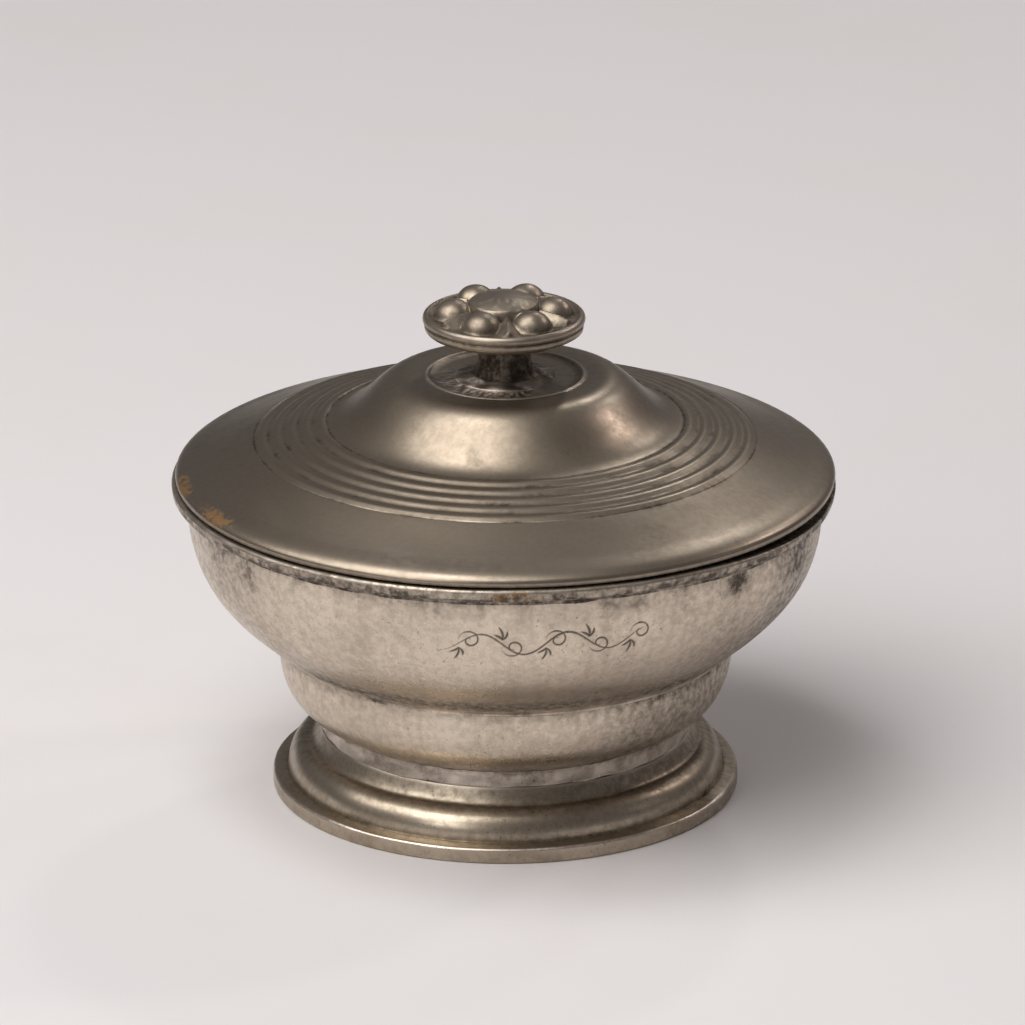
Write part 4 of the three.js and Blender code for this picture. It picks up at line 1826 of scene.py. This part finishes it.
    def saucer(self) -> bpy.types.Object:
        """The underside of the knob, with a thin edge under the rosette.

        Returns:
            The piece.
        """
        radius, low, high = node_extent("knob_cup")
        neck = self.stem_radius + 0.6
        spread, rise = radius - neck, high - 0.6 - low
        outline = (
            Outline()
            .line((0.0, low), (neck, low), spacing=1.5)
            .bow(
                (spread * 0.5, rise * 0.22), (0.0, -rise * 0.45), (radius, high - 0.6),
                spacing=0.35,
            )
            .line((radius, high), (radius - 0.15, high + 0.18), spacing=0.25)
            .line((radius - 1.8, high + 0.18), (radius - 3.4, high - 1.1), spacing=1.5)
            .line((0.0, high - 1.9), spacing=2.0)
        )
        dents = Unevenness(101, 14, 6.0)

        def relief(a: Array, r: Array, z: Array) -> Array:
            """Dents on the side, none over the stem."""
            return 0.04 * dents.at(a, z) * ramp(r, 4.0, 9.0)

        def grime(a: Array, r: Array, z: Array) -> Array:
            """Dirt round the stem and in the line under the rosette."""
            line = 0.7 * bell(z, high - 0.02, 0.12)
            return 0.45 * ramp(z, low + 3.2, low) + line + 0.08 * dents.at(a, z)

        def wear(a: Array, r: Array, z: Array) -> Array:
            """The rubbed edge."""
            return 0.1 * bell(z, high - 0.45, 0.2) * ramp(r, radius - 0.6, radius)

        return TurnedPiece(
            "knob_saucer",
            "knob_cup",
            Body.LID,
            "knob_pewter",
            outline.worn(0.09),
            even_turn(200),
            relief=relief,
            marks={Mark.GRIME_AND_SHADE: grime, Mark.WEAR: wear},
            lean=self.lean,
        ).build(self.finish)

    def relief_above(self, azimuth: Array, radius: Array) -> Array:
        """The height of the rosette above its plate.

        Each petal is half an ellipsoid, the boss a flattened dome, and each leaf a ridge whose
        sides fall straight. They run together as the root of the sum of their powers.

        Args:
            azimuth: Azimuths in radians.
            radius: Radii.

        Returns:
            Heights above the plate.
        """
        power = self.blend_power
        share = np.clip(1.0 - (radius / self.boss_radius) ** 2, 0.0, 1.0)
        boss = self.boss_side * ramp(share, 0.0, 0.16) + self.boss_crown * share**0.75
        total = boss**power
        x, y = radius * np.sin(azimuth), radius * np.cos(azimuth)
        step = 2 * math.pi / self.petals
        for k in range(self.petals):
            turn = math.radians(self.petal_turn) + k * step
            away = np.hypot(
                x - self.petal_circle * math.sin(turn), y - self.petal_circle * math.cos(turn)
            )
            dome = np.sqrt(np.clip(1.0 - (away / self.petal_radius) ** 2, 0.0, 1.0))
            total = total + (self.petal_height * dome) ** power
            between = turn + step / 2
            along = x * math.sin(between) + y * math.cos(between)
            aside = x * math.cos(between) - y * math.sin(between)
            share = np.clip((along - self.leaf_start) / (self.leaf_tip - self.leaf_start), 0, 1)
            width = self.leaf_width * np.sqrt(share * (1.0 - share)) * 2.0 + 1e-3
            ridge = np.clip(1.0 - np.abs(aside) / width, 0.0, 1.0)
            swell = self.leaf_height * (1.0 - 0.55 * share**2) * ramp(share, 0.0, 0.2)
            total = total + (ridge * swell) ** power
        return total ** (1.0 / power)

    def rosette(self) -> bpy.types.Object:
        """The rosette: petals and leaves by turns round a boss, inside a bead.

        Returns:
            The piece.
        """
        radius, low, high = node_extent("knob_rosette")
        plate = low + self.plate_height
        bead = (radius - self.bead_width / 2, low + self.bead_rise)
        inner = radius - self.bead_width
        outline = (
            Outline()
            .line((0.0, low - 0.1), (radius - 0.3, low - 0.1), spacing=2.0)
            .arc(bead, self.bead_width / 2, self.bead_height, -35, 140, spacing=0.2)
            .line((inner - 0.1, plate), (0.0, plate), spacing=0.13)
        )
        lumps = Unevenness(111, 18, 3.0)
        dirt = Unevenness(112, 24, 4.0)

        def sinking(a: Array, r: Array, z: Array) -> Array:
            """How far the plate's top sinks, below zero where the ornament stands above it.

            Args:
                a: Azimuths in radians.
                r: Radii.
                z: Heights.

            Returns:
                Millimetres downwards.
            """
            on_top = (z > plate - 0.12) * ramp(r, inner + 0.25, inner - 0.3)
            rough = 0.03 * lumps.at(a, r) * ramp(r, 1.0, 5.0)
            return -on_top * (self.relief_above(a, r) + rough)

        def grime(a: Array, r: Array, z: Array) -> Array:
            """Dirt between the petals and round the boss.

            Args:
                a: Azimuths in radians.
                r: Radii.
                z: Heights.

            Returns:
                The shares.
            """
            above = self.relief_above(a, r)
            hollow = ramp(above, 2.2, 0.4) * ramp(r, radius - 0.7, inner - 0.1)
            between = bell(r, self.boss_radius + 0.1, 0.45) * ramp(above, 2.6, 1.0)
            return (0.7 * hollow + 0.6 * between) * (0.8 + 0.3 * dirt.at(a, r))

        def wear(a: Array, r: Array, z: Array) -> Array:
            """The rubbed tops and the bead's edge.

            Args:
                a: Azimuths in radians.
                r: Radii.
                z: Heights.

            Returns:
                The shares.
            """
            above = self.relief_above(a, r)
            tops = ramp(above, 2.5, 3.5) * ramp(r, inner, inner - 1.0)
            edge = bell(r, radius - 0.3, 0.35) * bell(z, plate - 0.1, 0.3)
            return 0.1 * tops + 0.3 * edge * (0.8 + 0.3 * dirt.at(a, z))

        return TurnedPiece(
            "knob_flower",
            "knob_rosette",
            Body.LID,
            "knob_pewter",
            outline.worn(0.07),
            even_turn(300),
            settling=sinking,
            marks={Mark.GRIME_AND_SHADE: grime, Mark.WEAR: wear},
            lean=self.lean,
        ).build(self.finish)


@dataclass(frozen=True)
class Softbox:
    """A rectangular lamp that faces the bowl from a direction."""

    name: str
    azimuth: float
    elevation: float
    distance: float  # metres
    width: float
    height: float
    power: float
    colour: Colour = (1.0, 0.98, 0.95)

    def hang(self) -> bpy.types.Object:
        """Makes the lamp and turns it towards the bowl.

        Returns:
            The lamp.
        """
        lamp = bpy.data.lights.new(self.name, "AREA")
        lamp.shape = "RECTANGLE"
        lamp.size, lamp.size_y = self.width, self.height
        lamp.energy, lamp.color = self.power, self.colour
        hung = bpy.data.objects.new(self.name, lamp)
        a, e = math.radians(self.azimuth), math.radians(self.elevation)
        away = Vector((math.sin(a) * math.cos(e), -math.cos(a) * math.cos(e), math.sin(e)))
        hung.location = Vector((0.0, 0.0, 0.05)) + away * self.distance
        hung.rotation_euler = (-away).to_track_quat("-Z", "Y").to_euler()
        bpy.context.scene.collection.objects.link(hung)
        return hung


@dataclass
class Studio:
    """The table, the lamps, the room and the camera."""

    table_size: float = 7.0  # metres
    camera_at: tuple[float, float, float] = (0.001385, -1.5425, 0.6119)
    camera_pitch: float = 19.86  # degrees below the horizon
    lens: float = 298.78
    overhead: Colour = (0.13, 0.124, 0.126)
    horizon: Colour = (0.11, 0.107, 0.115)
    softboxes: tuple[Softbox, ...] = (
        Softbox("key_lamp", -58.0, 57.0, 1.3, 1.35, 1.35, 18.5),
        Softbox("front_lamp", -30.0, 20.0, 1.7, 0.6, 0.4, 2.2),
        Softbox("top_lamp", -96.0, 80.0, 1.9, 0.5, 0.5, 3.2),
        Softbox("back_right_lamp", 162.0, 41.0, 1.9, 0.13, 0.13, 2.1),
        Softbox("middle_right_lamp", 141.0, 36.0, 1.9, 0.12, 0.12, 1.2),
        Softbox("right_lamp", 120.5, 36.5, 1.9, 0.16, 0.16, 2.8, (1.0, 0.88, 0.84)),
        Softbox("fill_lamp", 84.0, 22.0, 2.0, 0.5, 0.4, 0.4),
    )

    def build(self) -> None:
        """Sets everything up."""
        self.lay_table()
        for softbox in self.softboxes:
            softbox.hang()
        self.light_room()
        self.set_camera()
        view = bpy.context.scene.view_settings
        view.view_transform = "Standard"
        view.look = "None"

    def lay_table(self) -> None:
        """A flat table top just under the foot."""
        half, low = self.table_size / 2, -0.02 * METRES
        corners = [(-half, -half, low), (half, -half, low), (half, half, low), (-half, half, low)]
        mesh = bpy.data.meshes.new("table_top")
        mesh.from_pydata(corners, [], [(0, 1, 2, 3)])
        mesh.materials.append(TableFinish().material())
        table = bpy.data.objects.new("table_top", mesh)
        bpy.context.scene.collection.objects.link(table)

    def light_room(self) -> None:
        """A room that is pale near the horizon and darker overhead."""
        world = bpy.data.worlds.new("studio_room")
        bpy.context.scene.world = world
        world.use_nodes = True
        bench = Bench(world.node_tree)
        apart = bench.add("ShaderNodeSeparateXYZ")
        bench.feed(apart.inputs[0], bench.add("ShaderNodeTexCoord").outputs["Generated"])
        share = bench.graded(apart.outputs[2], 0.0, 0.55, 0.0, 1.0)
        background = world.node_tree.nodes["Background"]
        bench.feed(background.inputs["Color"], bench.blended(share, self.horizon, self.overhead))
        background.inputs["Strength"].default_value = 1.0

    def set_camera(self) -> None:
        """A long lens from the front, looking a little down."""
        data = bpy.data.cameras.new("front_camera")
        data.lens, data.sensor_width, data.sensor_fit = self.lens, 36.0, "HORIZONTAL"
        data.clip_start, data.clip_end = 0.05, 50.0
        camera = bpy.data.objects.new("front_camera", data)
        camera.location = self.camera_at
        camera.rotation_euler = (math.radians(90.0 - self.camera_pitch), 0.0, 0.0)
        bpy.context.scene.collection.objects.link(camera)
        bpy.context.scene.camera = camera


BOWL_PEWTER = PewterFinish(
    "bowl_pewter_aged", (0.71, 0.612, 0.50), (0.46, 0.385, 0.31), 0.34,
    clouding=0.22, mottling=0.3, streaking=0.12, pitting=0.5, roughness=0.31, grain=0.6,
)
# the lid's pewter is a darker copy of the bowl's, darkened as painted shade for the dark overhead
# that its upturned faces reflect
LID_PEWTER_SHADED = PewterFinish(
    "lid_pewter_aged_shaded", (0.355, 0.297, 0.235), (0.255, 0.21, 0.16), 0.5,
    clouding=0.2, mottling=0.28, pitting=0.2, roughness=0.35, unevenness=0.03, grain=0.3,
    matt_wear=0.85,
)
FOOT_PEWTER = PewterFinish(
    "foot_pewter_aged", (0.50, 0.425, 0.335), (0.31, 0.255, 0.19), 0.45,
    clouding=0.3, mottling=0.3, pitting=0.6, roughness=0.33, unevenness=0.06, grain=0.35,
)
KNOB_PEWTER = PewterFinish(
    "knob_pewter_aged", (0.36, 0.305, 0.24), (0.22, 0.18, 0.14), 0.5,
    clouding=0.35, mottling=0.35, pitting=0.3, roughness=0.42, unevenness=0.06, grain=0.35,
)
DULL_SOLDER = PewterFinish(
    "dull_solder", (0.54, 0.465, 0.40), (0.34, 0.285, 0.23), 0.4,
    clouding=0.4, mottling=0.35, pitting=0.7, roughness=0.40, matt_wear=0.75,
)


def main() -> None:
    """Builds the sugar bowl piece by piece and the studio round it."""
    logging.basicConfig(level=logging.INFO, format="%(name)s: %(message)s")
    solder = DULL_SOLDER.material()
    assemblies = (
        Foot(FOOT_PEWTER.material(), solder),
        Bowl(BOWL_PEWTER.material(), solder),
        Lid(LID_PEWTER_SHADED.material(), solder),
        Knob(KNOB_PEWTER.material(), solder),
    )
    for assembly in assemblies:
        for piece in assembly.build():
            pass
    Studio().build()


if __name__ == "__main__":
    main()
